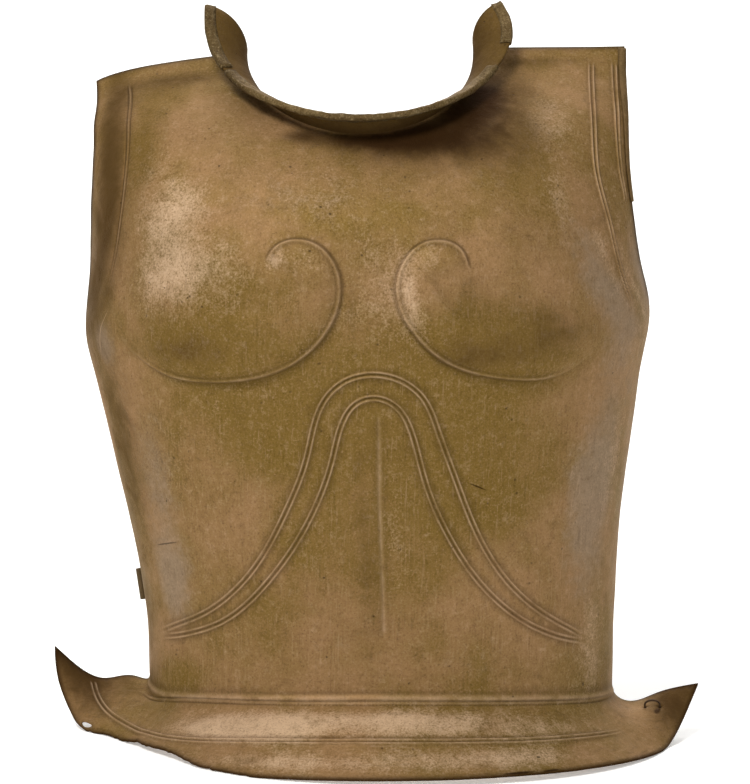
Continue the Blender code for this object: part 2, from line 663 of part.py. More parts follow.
# A strip of sheet folded over an edge of the plate. edge and foot: the plate's own points along
# the edge and the strip's width further in.
def folded_strip(name, faces_of_plate, edge, foot, parent, collection, material):
    outer, inner = faces_of_plate
    inward = outer[foot] - outer[edge]
    inward /= np.linalg.norm(inward, axis=1)[:, None]
    gap, far = CLEARANCE, CLEARANCE + EDGE_STRIP_SHEET
    chamfer = 0.6 * EDGE_STRIP_SHEET
    # Corners of the folded section: face of the plate, row on it, way inward, distance off the face
    section = (
        (outer, foot, -gap, far), (outer, edge, chamfer - far, far), (outer, edge, -far, far - chamfer),
        (inner, edge, -far, chamfer - far), (inner, edge, chamfer - far, -far), (inner, foot, -gap, -far),
        (inner, foot, -gap, -gap), (inner, edge, -gap, -gap), (outer, edge, -gap, gap),
        (outer, foot, -gap, gap),
    )
    points = []
    for i in range(len(edge)):
        for face, row, way, off in section:
            normal = outer[row[i]] - inner[row[i]]
            normal /= np.linalg.norm(normal)
            points.append(face[row[i]] + inward[i] * way + normal * off)
    count = len(section)
    faces = []
    for i in range(len(edge) - 1):
        for k in range(count):
            a, b = i * count + k, i * count + (k + 1) % count
            faces.append((a, b, b + count, a + count))
    last = (len(edge) - 1) * count
    for cap in ((0, 1, 8, 9), (1, 2, 8), (2, 3, 7, 8), (3, 4, 7), (4, 5, 6, 7)):
        faces.append(tuple(reversed(cap)))
        faces.append(tuple(last + k for k in cap))
    mesh = mesh_from(name, points, faces)
    shape = bmesh.new()
    shape.from_mesh(mesh)
    bmesh.ops.recalc_face_normals(shape, faces=shape.faces)
    shape.to_mesh(mesh)
    shape.free()
    return link_object(name, mesh, material, parent, collection)


# The outer and inner face of the finished sheet, point for point
def plate_faces(plate):
    bpy.context.view_layer.update()
    points = evaluated_points(plate)
    count = len(plate.data.vertices)
    return points[:count], points[count:]


def make_collar_strips(sides, lip, parent, collection):
    material = bronze("worn bronze edge", (0.42, 0.31, 0.17), 0.5)
    degrees = np.degrees(neck_turns())
    for name, start, end in COLLAR_STRIPS:
        span = (degrees > start - 0.01) & (degrees < end + 0.01)
        folded_strip(name, sides, lip[1][span], lip[0][span], parent, collection, material)


def make_arm_strip(sides, rows, parent, collection):
    material = bronze("dark bronze edge", (0.22, 0.15, 0.085), 0.5)
    folded_strip("arm_edge_strip", sides, rows[0], rows[1], parent, collection, material)


# Axes of a small fitting on the sheet: its middle, the sheet's outer side and the two runs
def seat(across, up):
    along, climb, normal = [part[0] for part in sheet_frame(np.array([across]), np.array([up]))]
    place = worked_sheet(np.array([across]), np.array([up]))[0]
    return Vector(place), Vector(normal), Vector(along).normalized(), Vector(climb).normalized()


# Hinge knuckle behind the left side edge, with its leaf along the inner face
def make_hinge(parent, collection, cutters):
    up = HINGE_UP * SHEET_HEIGHT
    edge, outward, along, climb = seat(-SHEET_HALF, up)
    leaf_end = seat(-SHEET_HALF + HINGE_LEAF_REACH, up)[0]
    forward = (leaf_end - edge).normalized()
    outward = climb.cross(forward).normalized()
    if outward.x > 0:
        outward = -outward
    profile = mesh_from("hinge_knuckle", [
        (HINGE_PIN_RADIUS, 0, -HINGE_LENGTH / 2), (HINGE_RADIUS, 0, -HINGE_LENGTH / 2),
        (HINGE_RADIUS, 0, HINGE_LENGTH / 2), (HINGE_PIN_RADIUS, 0, HINGE_LENGTH / 2)], [])
    shape = bmesh.new()
    shape.from_mesh(profile)
    shape.verts.ensure_lookup_table()
    for i in range(4):
        shape.edges.new((shape.verts[i], shape.verts[(i + 1) % 4]))
    shape.to_mesh(profile)
    shape.free()
    material = bronze("dark hinge bronze", (0.20, 0.14, 0.085), 0.5)
    knuckle = link_object("hinge_knuckle", profile, material, parent, collection)
    turned = knuckle.modifiers.new("turned", "SCREW")
    turned.steps = turned.render_steps = 20
    turned.use_merge_vertices = True
    turned.merge_threshold = 0.00001
    turned.use_normal_calculate = True
    axes = Matrix((outward, forward, outward.cross(forward))).transposed().to_4x4()
    middle = edge + outward * HINGE_STAND_OFF - forward * (HINGE_RADIUS + CLEARANCE)
    place = Matrix.Translation(middle) @ axes
    knuckle.matrix_local = place

    web = HINGE_RADIUS / 2
    near = -(HINGE_PIN_RADIUS + HINGE_RADIUS) / 2
    inner = -HINGE_STAND_OFF - SHEET - 2 * CLEARANCE
    far = inner - HINGE_LEAF_SHEET
    corners = ((near, -web), (near, web), (inner, web), (inner, HINGE_LEAF_REACH),
               (far, HINGE_LEAF_REACH), (far, -web))
    half = 0.45 * HINGE_LENGTH
    count = len(corners)
    rows = [(x, y, z) for z in (-half, half) for x, y in corners]
    faces = [tuple(range(count)), tuple(range(2 * count - 1, count - 1, -1))]
    faces += [(i, i + count, (i + 1) % count + count, (i + 1) % count) for i in range(count)]
    leaf_mesh = mesh_from("hinge leaf", rows, faces)
    shape = bmesh.new()
    shape.from_mesh(leaf_mesh)
    bmesh.ops.recalc_face_normals(shape, faces=shape.faces)
    shape.to_mesh(leaf_mesh)
    shape.free()
    leaf = bpy.data.objects.new("hinge leaf", leaf_mesh)
    leaf.parent = parent
    leaf.matrix_local = place
    leaf.hide_render = True
    leaf.display_type = "WIRE"
    cutters.objects.link(leaf)
    join = knuckle.modifiers.new("leaf", "BOOLEAN")
    join.operation = "UNION"
    join.object = leaf
    return knuckle


# Bent wire through two small holes near the right rim point
def make_staple(parent, collection):
    feet = [seat(across, up) for across, up in staple_feet()]
    first, second = feet[0][0], feet[1][0]
    outward = (feet[0][1] + feet[1][1]).normalized()
    run = (second - first).normalized()
    below = SHEET + 2 * CLEARANCE + STAPLE_WIRE_RADIUS
    bend = 0.3 * STAPLE_WIDTH
    arch = []
    for i in range(9):
        angle = math.pi * i / 8
        side = (1 - math.cos(angle)) / 2
        rise = STAPLE_HEIGHT - bend + bend * math.sin(angle)
        arch.append(first.lerp(second, side) + outward * rise)
    points = [first + run * bend - outward * below, first - outward * below]
    points += arch
    points += [second - outward * below, second - run * bend - outward * below]
    curve = bpy.data.curves.new("wire_staple", "CURVE")
    curve.dimensions = "3D"
    curve.bevel_depth = STAPLE_WIRE_RADIUS
    curve.bevel_resolution = 2
    curve.use_fill_caps = True
    spline = curve.splines.new("POLY")
    spline.points.add(len(points) - 1)
    for target, point in zip(spline.points, points):
        target.co = (*point, 1)
    return link_object("wire_staple", curve, bronze("iron wire", (0.07, 0.055, 0.045), 0.6, 0.7),
                       parent, collection)


def evaluated_points(item):
    graph = bpy.context.evaluated_depsgraph_get()
    shown = item.evaluated_get(graph)
    mesh = shown.to_mesh()
    points = np.empty(3 * len(mesh.vertices))
    mesh.vertices.foreach_get("co", points)
    shown.to_mesh_clear()
    world = np.array(item.matrix_world)
    return points.reshape(-1, 3) @ world[:3, :3].T + world[:3, 3]


# Middle of mass of the thin sheet, from its triangles
def middle_of_sheet(mesh):
    total, weight = np.zeros(3), 0.0
    mesh.calc_loop_triangles()
    for triangle in mesh.loop_triangles:
        middle = sum((mesh.vertices[i].co for i in triangle.vertices), Vector()) / 3
        total += np.array(middle) * triangle.area
        weight += triangle.area
    return total / weight


# Direction that is straight up once the plate stands on three points of its rim
def standing_up(points, middle):
    low = points[points[:, 2] < 0.75 * WAIST_HEIGHT]
    angle = np.degrees(np.arctan2(low[:, 1] - middle[1], low[:, 0] - middle[0]))
    chosen = []
    for start in range(-180, 180, 5):
        part = low[(angle >= start) & (angle < start + 5)]
        if len(part):
            chosen.append(part[part[:, 2].argmin()])
    chosen = np.array(chosen)
    under = middle[:2].copy()
    up = np.array([0.0, 0.0, 1.0])
    for _ in range(4):
        best = None
        for i in range(len(chosen)):
            for j in range(i + 1, len(chosen)):
                for k in range(j + 1, len(chosen)):
                    corner = chosen[[i, j, k]]
                    matrix = np.column_stack([corner[:, :2], np.ones(3)])
                    if abs(np.linalg.det(matrix)) < 1e-6:
                        continue
                    plane = np.linalg.solve(matrix, corner[:, 2])
                    spare = chosen[:, 2] - chosen[:, :2] @ plane[:2] - plane[2]
                    height = under @ plane[:2] + plane[2]
                    if spare.min() > -1e-6 and (best is None or height > best[0]):
                        best = (height, plane)
        plane = best[1]
        up = np.array([-plane[0], -plane[1], 1.0])
        up /= np.linalg.norm(up)
        drop = (middle[2] - middle[:2] @ plane[:2] - plane[2]) / (up[2] - up[:2] @ plane[:2])
        under = middle[:2] - drop * up[:2]
    return up


def main():
    for item in list(bpy.data.objects):
        bpy.data.objects.remove(item, do_unlink=True)
    collection = bpy.data.collections.new("bronze muscle cuirass")
    cutters = bpy.data.collections.new("cutters")
    bpy.context.scene.collection.children.link(collection)
    bpy.context.scene.collection.children.link(cutters)
    stand = bpy.data.objects.new("stand", None)
    collection.objects.link(stand)
    plate, lip, arm_rows = make_breastplate(stand, collection)
    sides = plate_faces(plate)
    make_collar_strips(sides, lip, stand, collection)
    make_arm_strip(sides, arm_rows, stand, collection)
    make_hinge(stand, collection, cutters)
    make_staple(stand, collection)
    bpy.context.view_layer.update()
    up = standing_up(evaluated_points(plate), middle_of_sheet(plate.data))
    stand.rotation_euler = Vector(up).rotation_difference(Vector((0, 0, 1))).to_euler()
    bpy.context.view_layer.update()
    shown = [item for item in collection.objects if item.type in {"MESH", "CURVE"}]
    points = np.concatenate([evaluated_points(item) for item in shown])
    low, high = points.min(axis=0), points.max(axis=0)
    stand.location = (-(low[0] + high[0]) / 2, -(low[1] + high[1]) / 2, -low[2])


main()
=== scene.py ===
# Front plate of an archaic bronze muscle cuirass in a pale studio, seen as in the photo.
import math

import bpy
import numpy as np
from mathutils import Euler, Matrix, Vector
from mathutils.geometry import delaunay_2d_cdt
from mathutils.kdtree import KDTree


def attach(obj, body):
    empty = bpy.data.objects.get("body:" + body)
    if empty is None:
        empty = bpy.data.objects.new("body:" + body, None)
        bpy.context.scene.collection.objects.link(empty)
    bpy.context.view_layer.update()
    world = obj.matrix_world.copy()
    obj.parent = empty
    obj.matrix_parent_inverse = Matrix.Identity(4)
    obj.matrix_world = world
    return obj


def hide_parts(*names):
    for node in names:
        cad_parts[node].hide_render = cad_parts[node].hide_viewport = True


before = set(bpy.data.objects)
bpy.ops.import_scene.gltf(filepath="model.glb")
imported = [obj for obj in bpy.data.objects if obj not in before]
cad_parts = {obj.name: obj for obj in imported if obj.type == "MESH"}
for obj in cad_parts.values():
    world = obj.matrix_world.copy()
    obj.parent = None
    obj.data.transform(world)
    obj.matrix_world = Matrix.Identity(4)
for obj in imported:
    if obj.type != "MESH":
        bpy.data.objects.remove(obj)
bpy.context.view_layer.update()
print("frame loaded:", sorted(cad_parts))


def linked(name, data):
    item = bpy.data.objects.new(name, data)
    bpy.context.scene.collection.objects.link(item)
    return item


# How the plate stands on its rim: everything below is shaped upright and then stood like this
stance = {"turn": (-3.648973, -1.453012, 0.046287), "place": (0.0014274, 0.0718661, -0.0066567)}
standing = Matrix.Translation(stance["place"]) @ Euler(
    [math.radians(angle) for angle in stance["turn"]]).to_matrix().to_4x4()

# Camera: where the photo was taken from, in the upright plate's own frame
view = {"place": (-0.0012, -2.682, 0.420), "pitch": 4.2, "lens": 192.58, "sensor": 36.0, "farthest": 60}


def setCamera():
    data = bpy.data.cameras.new("photoView")
    data.lens = view["lens"]
    data.sensor_width = view["sensor"]
    data.clip_end = view["farthest"]
    camera = linked("photoView", data)
    aim = Euler((math.radians(90 - view["pitch"]), 0, 0)).to_matrix().to_4x4()
    camera.matrix_world = standing @ Matrix.Translation(view["place"]) @ aim
    bpy.context.scene.camera = camera


# Soft studio light: a big key from the upper left, a weak fill and an even pale room
studio = {
    "lights": {
        "key": {"place": (-1.00, -1.95, 2.95), "size": 1.3, "power": 108, "colour": (1.0, 0.97, 0.92),
                "target": (0, 0, 0.22)},
        "fill": {"place": (2.2, -2.2, 1.2), "size": 2.0, "power": 10, "colour": (0.97, 0.98, 1.0),
                 "target": (0, 0, 0.22)},
        "backWash": {"place": (0.0, 2.6, 3.2), "size": 2.6, "power": 75, "colour": (1.0, 1.0, 1.0),
                     "target": (0, 1.9, 0)}},
    "room": {"colour": (1.0, 0.99, 0.97), "strength": 0.36},
    "floor": {"half": 7.0, "depth": 3.4, "rise": 5.0, "bend": 1.6, "steps": 12,
              "colour": (0.90, 0.90, 0.89), "roughness": 0.9, "glow": 0.25},
}


def addLight(name, place, size, power, colour, target):
    data = bpy.data.lights.new(name, "AREA")
    data.shape = "DISK"
    data.size = size
    data.energy = power
    data.color = colour
    lamp = linked(name, data)
    aim = Vector(target) - Vector(place)
    lamp.matrix_world = Matrix.Translation(place) @ aim.to_track_quat("-Z", "Y").to_matrix().to_4x4()


def setStudio():
    for name, settings in studio["lights"].items():
        addLight(name, **settings)
    world = bpy.data.worlds.new("paleRoom")
    world.use_nodes = True
    background = world.node_tree.nodes["Background"]
    background.inputs["Color"].default_value = (*studio["room"]["colour"], 1)
    background.inputs["Strength"].default_value = studio["room"]["strength"]
    bpy.context.scene.world = world
    bpy.context.scene.view_settings.view_transform = "Standard"
    cove = studio["floor"]
    profile = [(-cove["half"], 0.0), (cove["depth"] - cove["bend"], 0.0)]  # floor running up into the back
    for step in range(1, cove["steps"] + 1):
        angle = math.pi / 2 * step / cove["steps"]
        back = cove["depth"] - cove["bend"] * (1 - math.sin(angle))
        profile.append((back, cove["bend"] * (1 - math.cos(angle))))
    profile.append((cove["depth"], cove["rise"]))
    points = [(side * cove["half"], y, z) for y, z in profile for side in (-1, 1)]
    faces = [(2 * i, 2 * i + 1, 2 * i + 3, 2 * i + 2) for i in range(len(profile) - 1)]
    mesh = bpy.data.meshes.new("paleFloor")
    mesh.from_pydata(points, [], faces)
    mesh.shade_smooth()
    floor = linked("paleFloor", mesh)
    material = bpy.data.materials.new("paleFloor")
    material.use_nodes = True
    shader = material.node_tree.nodes["Principled BSDF"]
    shader.inputs["Base Color"].default_value = (*cove["colour"], 1)
    shader.inputs["Roughness"].default_value = cove["roughness"]
    shader.inputs["Emission Color"].default_value = (1, 1, 1, 1)
    shader.inputs["Emission Strength"].default_value = cove["glow"]
    mesh.materials.append(material)


setCamera()
setStudio()
print("camera, light and floor set")


# Node helpers
def addNode(tree, kind, sockets=None, **settings):
    made = tree.nodes.new(kind)
    for key, value in settings.items():
        setattr(made, key, value)
    for key, value in (sockets or {}).items():
        if isinstance(value, bpy.types.NodeSocket):
            tree.links.new(value, made.inputs[key])
        else:
            made.inputs[key].default_value = value
    return made


def calc(tree, operation, first, second=None, third=None):
    sockets = {i: value for i, value in enumerate((first, second, third)) if value is not None}
    return addNode(tree, "ShaderNodeMath", sockets, operation=operation).outputs[0]


def vectorCalc(tree, operation, first, second=None):
    sockets = {i: value for i, value in enumerate((first, second)) if value is not None}
    return addNode(tree, "ShaderNodeVectorMath", sockets, operation=operation)


def treeWith(name, inputs, outputs=(("Geometry", "NodeSocketGeometry"),)):
    tree = bpy.data.node_groups.new(name, "GeometryNodeTree")
    for label, kind in inputs:
        tree.interface.new_socket(label, in_out="INPUT", socket_type=kind)
    for label, kind in outputs:
        tree.interface.new_socket(label, in_out="OUTPUT", socket_type=kind)
    return tree, tree.nodes.new("NodeGroupInput"), tree.nodes.new("NodeGroupOutput")


def setInput(modifier, label, value):
    for item in modifier.node_group.interface.items_tree:
        if item.item_type == "SOCKET" and item.in_out == "INPUT" and item.name == label:
            modifier[item.identifier] = value
            return
    raise KeyError(label)


# The plate's form in metres, as in the solids: level sections from the rim up to the shoulder top
plate = {
    "shoulderHeight": 0.443, "chestHalf": 0.180, "chestDepth": 0.137,
    "waistHeight": 0.041, "waistHalf": 0.150, "waistDepth": 0.118,
    "rimHalf": 0.191, "rimDepth": 0.168, "rimReach": 0.016, "leftPointRise": 0.059, "rightPointRise": 0.035,
    "sheet": 0.0015, "gap": 0.0003,
    "neckHalf": 0.073, "neckDrop": 0.0935, "collarHeight": 0.040,
    "armpitRow": 7, "pointPower": 1.6,
    # up, width, depth, square, shift, dip, left, right, bend of each level section above the waist
    "trunk": (
        (0.028, 0.827, 0.856, 2.15, 0.014, 0.023, 0.009, 0.000, 60),
        (0.085, 0.830, 0.864, 2.15, 0.014, 0.011, 0.000, 0.000, 60),
        (0.148, 0.842, 0.883, 2.15, 0.009, 0.004, 0.000, 0.000, 60),
        (0.235, 0.866, 0.905, 2.20, -0.004, 0.000, 0.000, 0.000, 60),
        (0.330, 0.902, 0.927, 2.25, -0.017, 0.000, 0.000, 0.000, 60),
        (0.418, 0.938, 0.949, 2.30, -0.025, 0.000, -0.002, 0.002, 60),
        (0.498, 0.972, 0.971, 2.35, -0.033, 0.000, -0.008, 0.007, 58),
        (0.567, 0.999, 0.993, 2.40, -0.033, 0.000, -0.016, 0.014, 55),
        (0.643, 0.983, 1.000, 2.45, -0.036, 0.000, -0.013, 0.011, 52),
        (0.735, 0.975, 0.934, 2.60, -0.042, 0.000, -0.012, 0.008, 45),
        (0.812, 0.972, 0.781, 2.75, -0.050, 0.000, -0.020, 0.006, 36),
        (0.865, 0.975, 0.628, 2.90, -0.053, 0.000, -0.032, 0.005, 30),
        (0.900, 0.983, 0.482, 3.00, -0.056, 0.000, -0.048, 0.005, 26),
        (0.932, 0.989, 0.328, 3.00, -0.056, 0.000, -0.066, 0.005, 22),
        (0.965, 0.994, 0.182, 3.00, -0.057, 0.000, -0.082, 0.005, 13),
        (1.000, 1.000, 0.073, 3.00, -0.058, 0.000, -0.102, 0.005, 7)),
    # down, out, square, dip, left, right, reach, bend of the flare, rim first
    "flare": (
        (1.00, 1.00, 2.00, 0.00, 1.00, 1.00, 1.00, 74),
        (0.53, 0.53, 2.02, 0.22, 0.48, 0.52, 0.42, 62),
        (0.20, 0.19, 2.08, 0.34, 0.36, 0.14, 0.10, 60),
        (0.00, 0.00, 2.12, 0.30, 0.16, 0.03, 0.00, 60)),
    # up, left and right angle at which the sheet ends beside the arms
    "armEdge": (
        (0.00, 90.0, 90.0), (0.13, 82.5, 76.5), (0.30, 73.5, 67.0),
        (0.52, 66.0, 63.0), (0.74, 60.5, 60.0), (1.00, 58.5, 58.5)),
    # across, up of the metal lost along the rim
    "rimLoss": (
        (-0.955, 0.000), (-0.890, 0.004), (-0.862, 0.009), (-0.790, 0.034),
        (-0.660, 0.044), (-0.510, 0.032), (-0.390, 0.010), (-0.260, 0.000)),
}


class Smooth:  # natural cubic through a column of a table
    def __init__(self, knots, values):
        self.x, self.y = np.array(knots, float), np.array(values, float)
        gap, count = np.diff(self.x), len(self.x)
        matrix, right = np.eye(count), np.zeros(count)
        for i in range(1, count - 1):
            matrix[i, i - 1:i + 2] = gap[i - 1], 2 * (gap[i - 1] + gap[i]), gap[i]
            right[i] = 6 * ((self.y[i + 1] - self.y[i]) / gap[i] - (self.y[i] - self.y[i - 1]) / gap[i - 1])
        self.bend = np.linalg.solve(matrix, right)

    def __call__(self, at):
        at = np.asarray(at, float)
        i = np.clip(np.searchsorted(self.x, at) - 1, 0, len(self.x) - 2)
        gap = self.x[i + 1] - self.x[i]
        low, high = (self.x[i + 1] - at) / gap, (at - self.x[i]) / gap
        curve = (low ** 3 - low) * self.bend[i] + (high ** 3 - high) * self.bend[i + 1]
        return low * self.y[i] + high * self.y[i + 1] + curve * gap ** 2 / 6


def levelRows():
    rows = []
    spreadX, spreadY = plate["rimHalf"] - plate["waistHalf"], plate["rimDepth"] - plate["waistDepth"]
    waistShift = plate["trunk"][0][4] * plate["chestHalf"]
    for down, out, square, dip, left, right, reach, bend in plate["flare"]:
        rows.append((
            plate["waistHeight"] * (1 - down), plate["waistHalf"] + spreadX * out,
            plate["waistDepth"] + spreadY * out, square, waistShift * (1 - out),
            plate["waistHeight"] * dip, plate["leftPointRise"] * left, plate["rightPointRise"] * right,
            math.radians(bend), plate["rimReach"] * reach))
    for up, width, depth, square, shift, dip, left, right, bend in plate["trunk"]:
        tall = plate["shoulderHeight"]
        rows.append((
            plate["waistHeight"] + (tall - plate["waistHeight"]) * up, plate["chestHalf"] * width,
            plate["chestDepth"] * depth, square, plate["chestHalf"] * shift, tall * dip, tall * left,
            tall * right, math.radians(bend), 0.0))
    return np.array(rows)


rows = levelRows()
rowUp = np.concatenate([[0.0], np.cumsum(np.hypot(np.diff(rows[:, 0]), np.diff(rows[:, 2])))])
tallest = rowUp[-1]  # length of the sheet from rim to shoulder top
widest = 0.5 * math.pi * math.sqrt(0.5 * (plate["chestHalf"] ** 2 + plate["chestDepth"] ** 2))
armpitUp = rowUp[len(plate["flare"]) + plate["armpitRow"]]
columns = [Smooth(rowUp, rows[:, i]) for i in range(rows.shape[1])]
armUp = [armpitUp + (tallest - armpitUp) * row[0] for row in plate["armEdge"]]
armLeft = Smooth(armUp, [math.radians(row[1]) for row in plate["armEdge"]])
armRight = Smooth(armUp, [math.radians(row[2]) for row in plate["armEdge"]])


def lengthAlong(places):
    return np.concatenate([[0.0], np.cumsum(np.linalg.norm(np.diff(places, axis=0), axis=1))])


def smoothSheet(across, up):  # position in space of each point of the flat sheet
    across, up = np.broadcast_arrays(np.asarray(across, float), np.asarray(up, float))
    height, half, depth, square, shift, dip, left, right, bend, reach = [column(up) for column in columns]
    above = np.clip(up, armpitUp, None)
    limit = np.where(across < 0, armLeft(above), armRight(above))
    limit = np.where(up <= armpitUp, math.pi / 2, limit)
    turn = across / widest * limit
    sine, cosine = np.sin(turn), np.cos(turn)
    swell = (np.abs(sine) ** square + np.abs(cosine) ** square) ** (-1 / square)
    end = np.clip((np.abs(turn) - bend) / (math.pi / 2 - bend), 0, None)
    tip = end ** plate["pointPower"]
    rise = np.where(across < 0, left, right) * tip
    outward = np.where(across < 0, smoothStep(end), tip)
    x = shift + (half * swell + reach * outward) * sine
    return np.stack([x, -depth * swell * cosine, height - dip * sine ** 2 + rise], axis=-1)


def sheetFrame(across, up, step=0.0004):
    across, up = np.broadcast_arrays(np.asarray(across, float), np.asarray(up, float))
    across, up = np.clip(across, -widest, widest), np.clip(up, 0, tallest)
    lowA, highA = np.clip(across - step, -widest, widest), np.clip(across + step, -widest, widest)
    lowU, highU = np.clip(up - step, 0, tallest), np.clip(up + step, 0, tallest)
    along = (smoothSheet(highA, up) - smoothSheet(lowA, up)) / (highA - lowA)[..., None]
    climb = (smoothSheet(across, highU) - smoothSheet(across, lowU)) / (highU - lowU)[..., None]
    normal = np.cross(along, climb)
    return along, climb, normal / np.linalg.norm(normal, axis=-1)[..., None]


def smoothStep(value):
    value = np.clip(value, 0, 1)
    return value * value * (3 - 2 * value)


# Raised lines: knots as shares of the half width and of the sheet's height
raised = {
    "spiral": {"aside": 0.0, "width": 0.0036, "height": 0.0008, "step": 0.0052, "spread": 0.030},
    "pair": {"aside": 0.00145, "width": 0.0023, "height": 0.00100, "step": 0.0, "spread": 0.02},
    "fine": {"aside": 0.00120, "width": 0.0016, "height": -0.00075, "step": 0.0, "spread": 0.02},
    "waist": {"aside": 0.0, "width": 0.0062, "height": 0.0010, "step": 0.0, "spread": 0.02},
    "middle": {"aside": 0.0, "width": 0.0046, "height": -0.0010, "step": 0.0030, "spread": 0.012},
    "pectoralRise": 0.0050,
    # crisp below and towards the middle, soft elsewhere: its direction, where it starts, how it blends
    "pectoralEdge": {"across": 0.5, "down": 0.87, "start": -0.3, "blend": 0.7, "core": 2, "power": 6},
    "pectorals": ((-0.514, 0.664, 0.389, 0.128), (0.467, 0.666, 0.398, 0.127)),  # x, z, wide, high
    "lines": (
        ("spiral", (0.006, 0.06), (
            (-0.244, 0.642), (-0.227, 0.659), (-0.171, 0.668), (-0.103, 0.655), (-0.066, 0.625),
            (-0.066, 0.593), (-0.095, 0.558), (-0.157, 0.527), (-0.235, 0.51), (-0.334, 0.503),
            (-0.458, 0.509), (-0.604, 0.551))),
        ("spiral", (0.006, 0.05), (
            (0.269, 0.633), (0.263, 0.656), (0.198, 0.667), (0.124, 0.653), (0.079, 0.619),
            (0.081, 0.585), (0.124, 0.547), (0.192, 0.522), (0.296, 0.508), (0.413, 0.507),
            (0.533, 0.533))),
        ("pair", (0.02, 0.02), (
            (-0.742, 0.195), (-0.61, 0.208), (-0.484, 0.226), (-0.325, 0.277), (-0.214, 0.349),
            (-0.152, 0.411), (-0.119, 0.462), (-0.085, 0.49), (-0.038, 0.507), (0.017, 0.512),
            (0.074, 0.505), (0.124, 0.484), (0.155, 0.448), (0.204, 0.383), (0.264, 0.315),
            (0.343, 0.262), (0.445, 0.226), (0.55, 0.205), (0.64, 0.191))),
        ("pair", (0.02, 0.02), (
            (-0.735, 0.1905), (-0.64, 0.194), (-0.54, 0.201), (-0.432, 0.216), (-0.272, 0.271),
            (-0.163, 0.336), (-0.091, 0.411), (-0.059, 0.458), (-0.024, 0.479), (0.021, 0.484),
            (0.063, 0.474), (0.096, 0.444), (0.127, 0.386), (0.18, 0.323), (0.251, 0.27), (0.368, 0.222),
            (0.48, 0.2), (0.56, 0.192), (0.636, 0.188))),
        ("middle", (0.005, 0.002), (
            (0.022, 0.466), (0.018, 0.389), (0.013, 0.293), (0.008, 0.203))),
        ("waist", (0.015, 0.015), (
            (-0.99, 0.13), (-0.76, 0.13), (-0.512, 0.13), (-0.269, 0.127), (0, 0.126), (0.263, 0.127),
            (0.525, 0.129), (0.76, 0.129), (0.99, 0.129))),
        ("fine", (0.02, 0.03), (
            (-0.912, 0.111), (-0.745, 0.123), (-0.512, 0.126), (-0.213, 0.121), (0, 0.12), (0.235, 0.121),
            (0.522, 0.124), (0.88, 0.126))),
        ("pair", (0.004, 0.03), (
            (-0.98, 0.047), (-0.884, 0.053), (-0.741, 0.066), (-0.565, 0.059), (-0.33, 0.058),
            (0.002, 0.059), (0.285, 0.059), (0.485, 0.061), (0.618, 0.064), (0.732, 0.066))),
        ("fine", (0.006, 0.04), (
            (-0.8, 0.965), (-0.772, 0.88), (-0.749, 0.8), (-0.734, 0.74), (-0.725, 0.69), (-0.717, 0.635),
            (-0.712, 0.595))),
        ("pair", (0.006, 0.02), (
            (0.794, 0.974), (0.773, 0.833), (0.772, 0.747), (0.79, 0.687), (0.775, 0.625),
            (0.735, 0.58))),
        ("pair", (0.006, 0.012), (
            (0.918, 0.974), (0.91, 0.853), (0.914, 0.763), (0.935, 0.705))),
    ),
}
# How finely the sheet is cut, and how far to each side of a line its rows of points lie
fineness = {
    "field": 0.0034, "edge": 0.0026, "neck": 1.5, "along": 0.0026, "collarLevels": 22, "stripLevels": 3,
    "lineGap": 0.00045, "cutGap": 0.0007, "fieldGap": 0.55, "markGap": 0.6, "wearAndLight": 0.0005, "path": 0.0012,
    "cutParts": 5, "sideRows": 60, "sideColumns": 80,
    "rows": {
        "spiral": (-4.0, -3.0, -2.2, -1.5, -0.9, -0.4, 0.1, 0.7, 1.4, 2.2, 3.2),
        "pair": (-2.6, -2.2, -1.8, -1.4, -1.0, -0.5, 0.0, 0.5, 1.0, 1.4, 1.8, 2.2, 2.6),
        "fine": (-2.2, -1.7, -1.2, -0.7, 0.0, 0.7, 1.2, 1.7, 2.2),
        "waist": (-3.6, -2.6, -1.6, -0.8, 0.0, 0.8, 1.6, 2.6, 3.6),
        "middle": (-3.9, -2.7, -1.7, -0.8, 0.0, 0.8, 1.7, 2.7, 3.9)},
}


def linePoints(knots, step):
    knots = np.array(knots, float) * (widest, tallest)
    way = lengthAlong(knots)
    at = np.linspace(0, way[-1], max(2, round(way[-1] / step)) + 1)
    return np.stack([Smooth(way, knots[:, 0])(at), Smooth(way, knots[:, 1])(at)], axis=1)


def fadeAlong(way, fade):  # a line's strength, which dies away at both ends
    return smoothStep(way / fade[0]) * smoothStep((way[-1] - way) / fade[1])


def beside(points, distance):
    along, climb, normal = sheetFrame(points[:, 0], points[:, 1])
    run = np.gradient(points, axis=0)
    side = np.cross(normal, along * run[:, :1] + climb * run[:, 1:])
    side *= distance / np.linalg.norm(side, axis=1)[:, None]
    return points + np.einsum("nij,nj->ni", np.linalg.pinv(np.stack([along, climb], axis=2)), side)


def pectoralRise(places):
    rise, edge = np.zeros(len(places)), raised["pectoralEdge"]
    for x, z, wide, high in raised["pectorals"]:
        dx = (places[:, 0] - x * plate["chestHalf"]) / (wide * plate["chestHalf"]) * -np.sign(x)
        dz = (places[:, 2] - z * plate["shoulderHeight"]) / (high * plate["shoulderHeight"])
        radius = np.hypot(dx, dz)
        facing = (edge["across"] * dx - edge["down"] * dz) / np.maximum(radius, 1e-6)
        crisp = smoothStep((facing - edge["start"]) / edge["blend"]) * smoothStep(radius * edge["core"])
        inside = np.clip(radius, 0, 1)
        rise += crisp * (1 - inside ** edge["power"]) + (1 - crisp) * (1 - inside ** 2) ** 2
    return rise * raised["pectoralRise"]


# The sheet's outline, cut and mesh
def spaced(start, end, step):
    return np.linspace(start, end, max(1, math.ceil(abs(end - start) / step)) + 1)


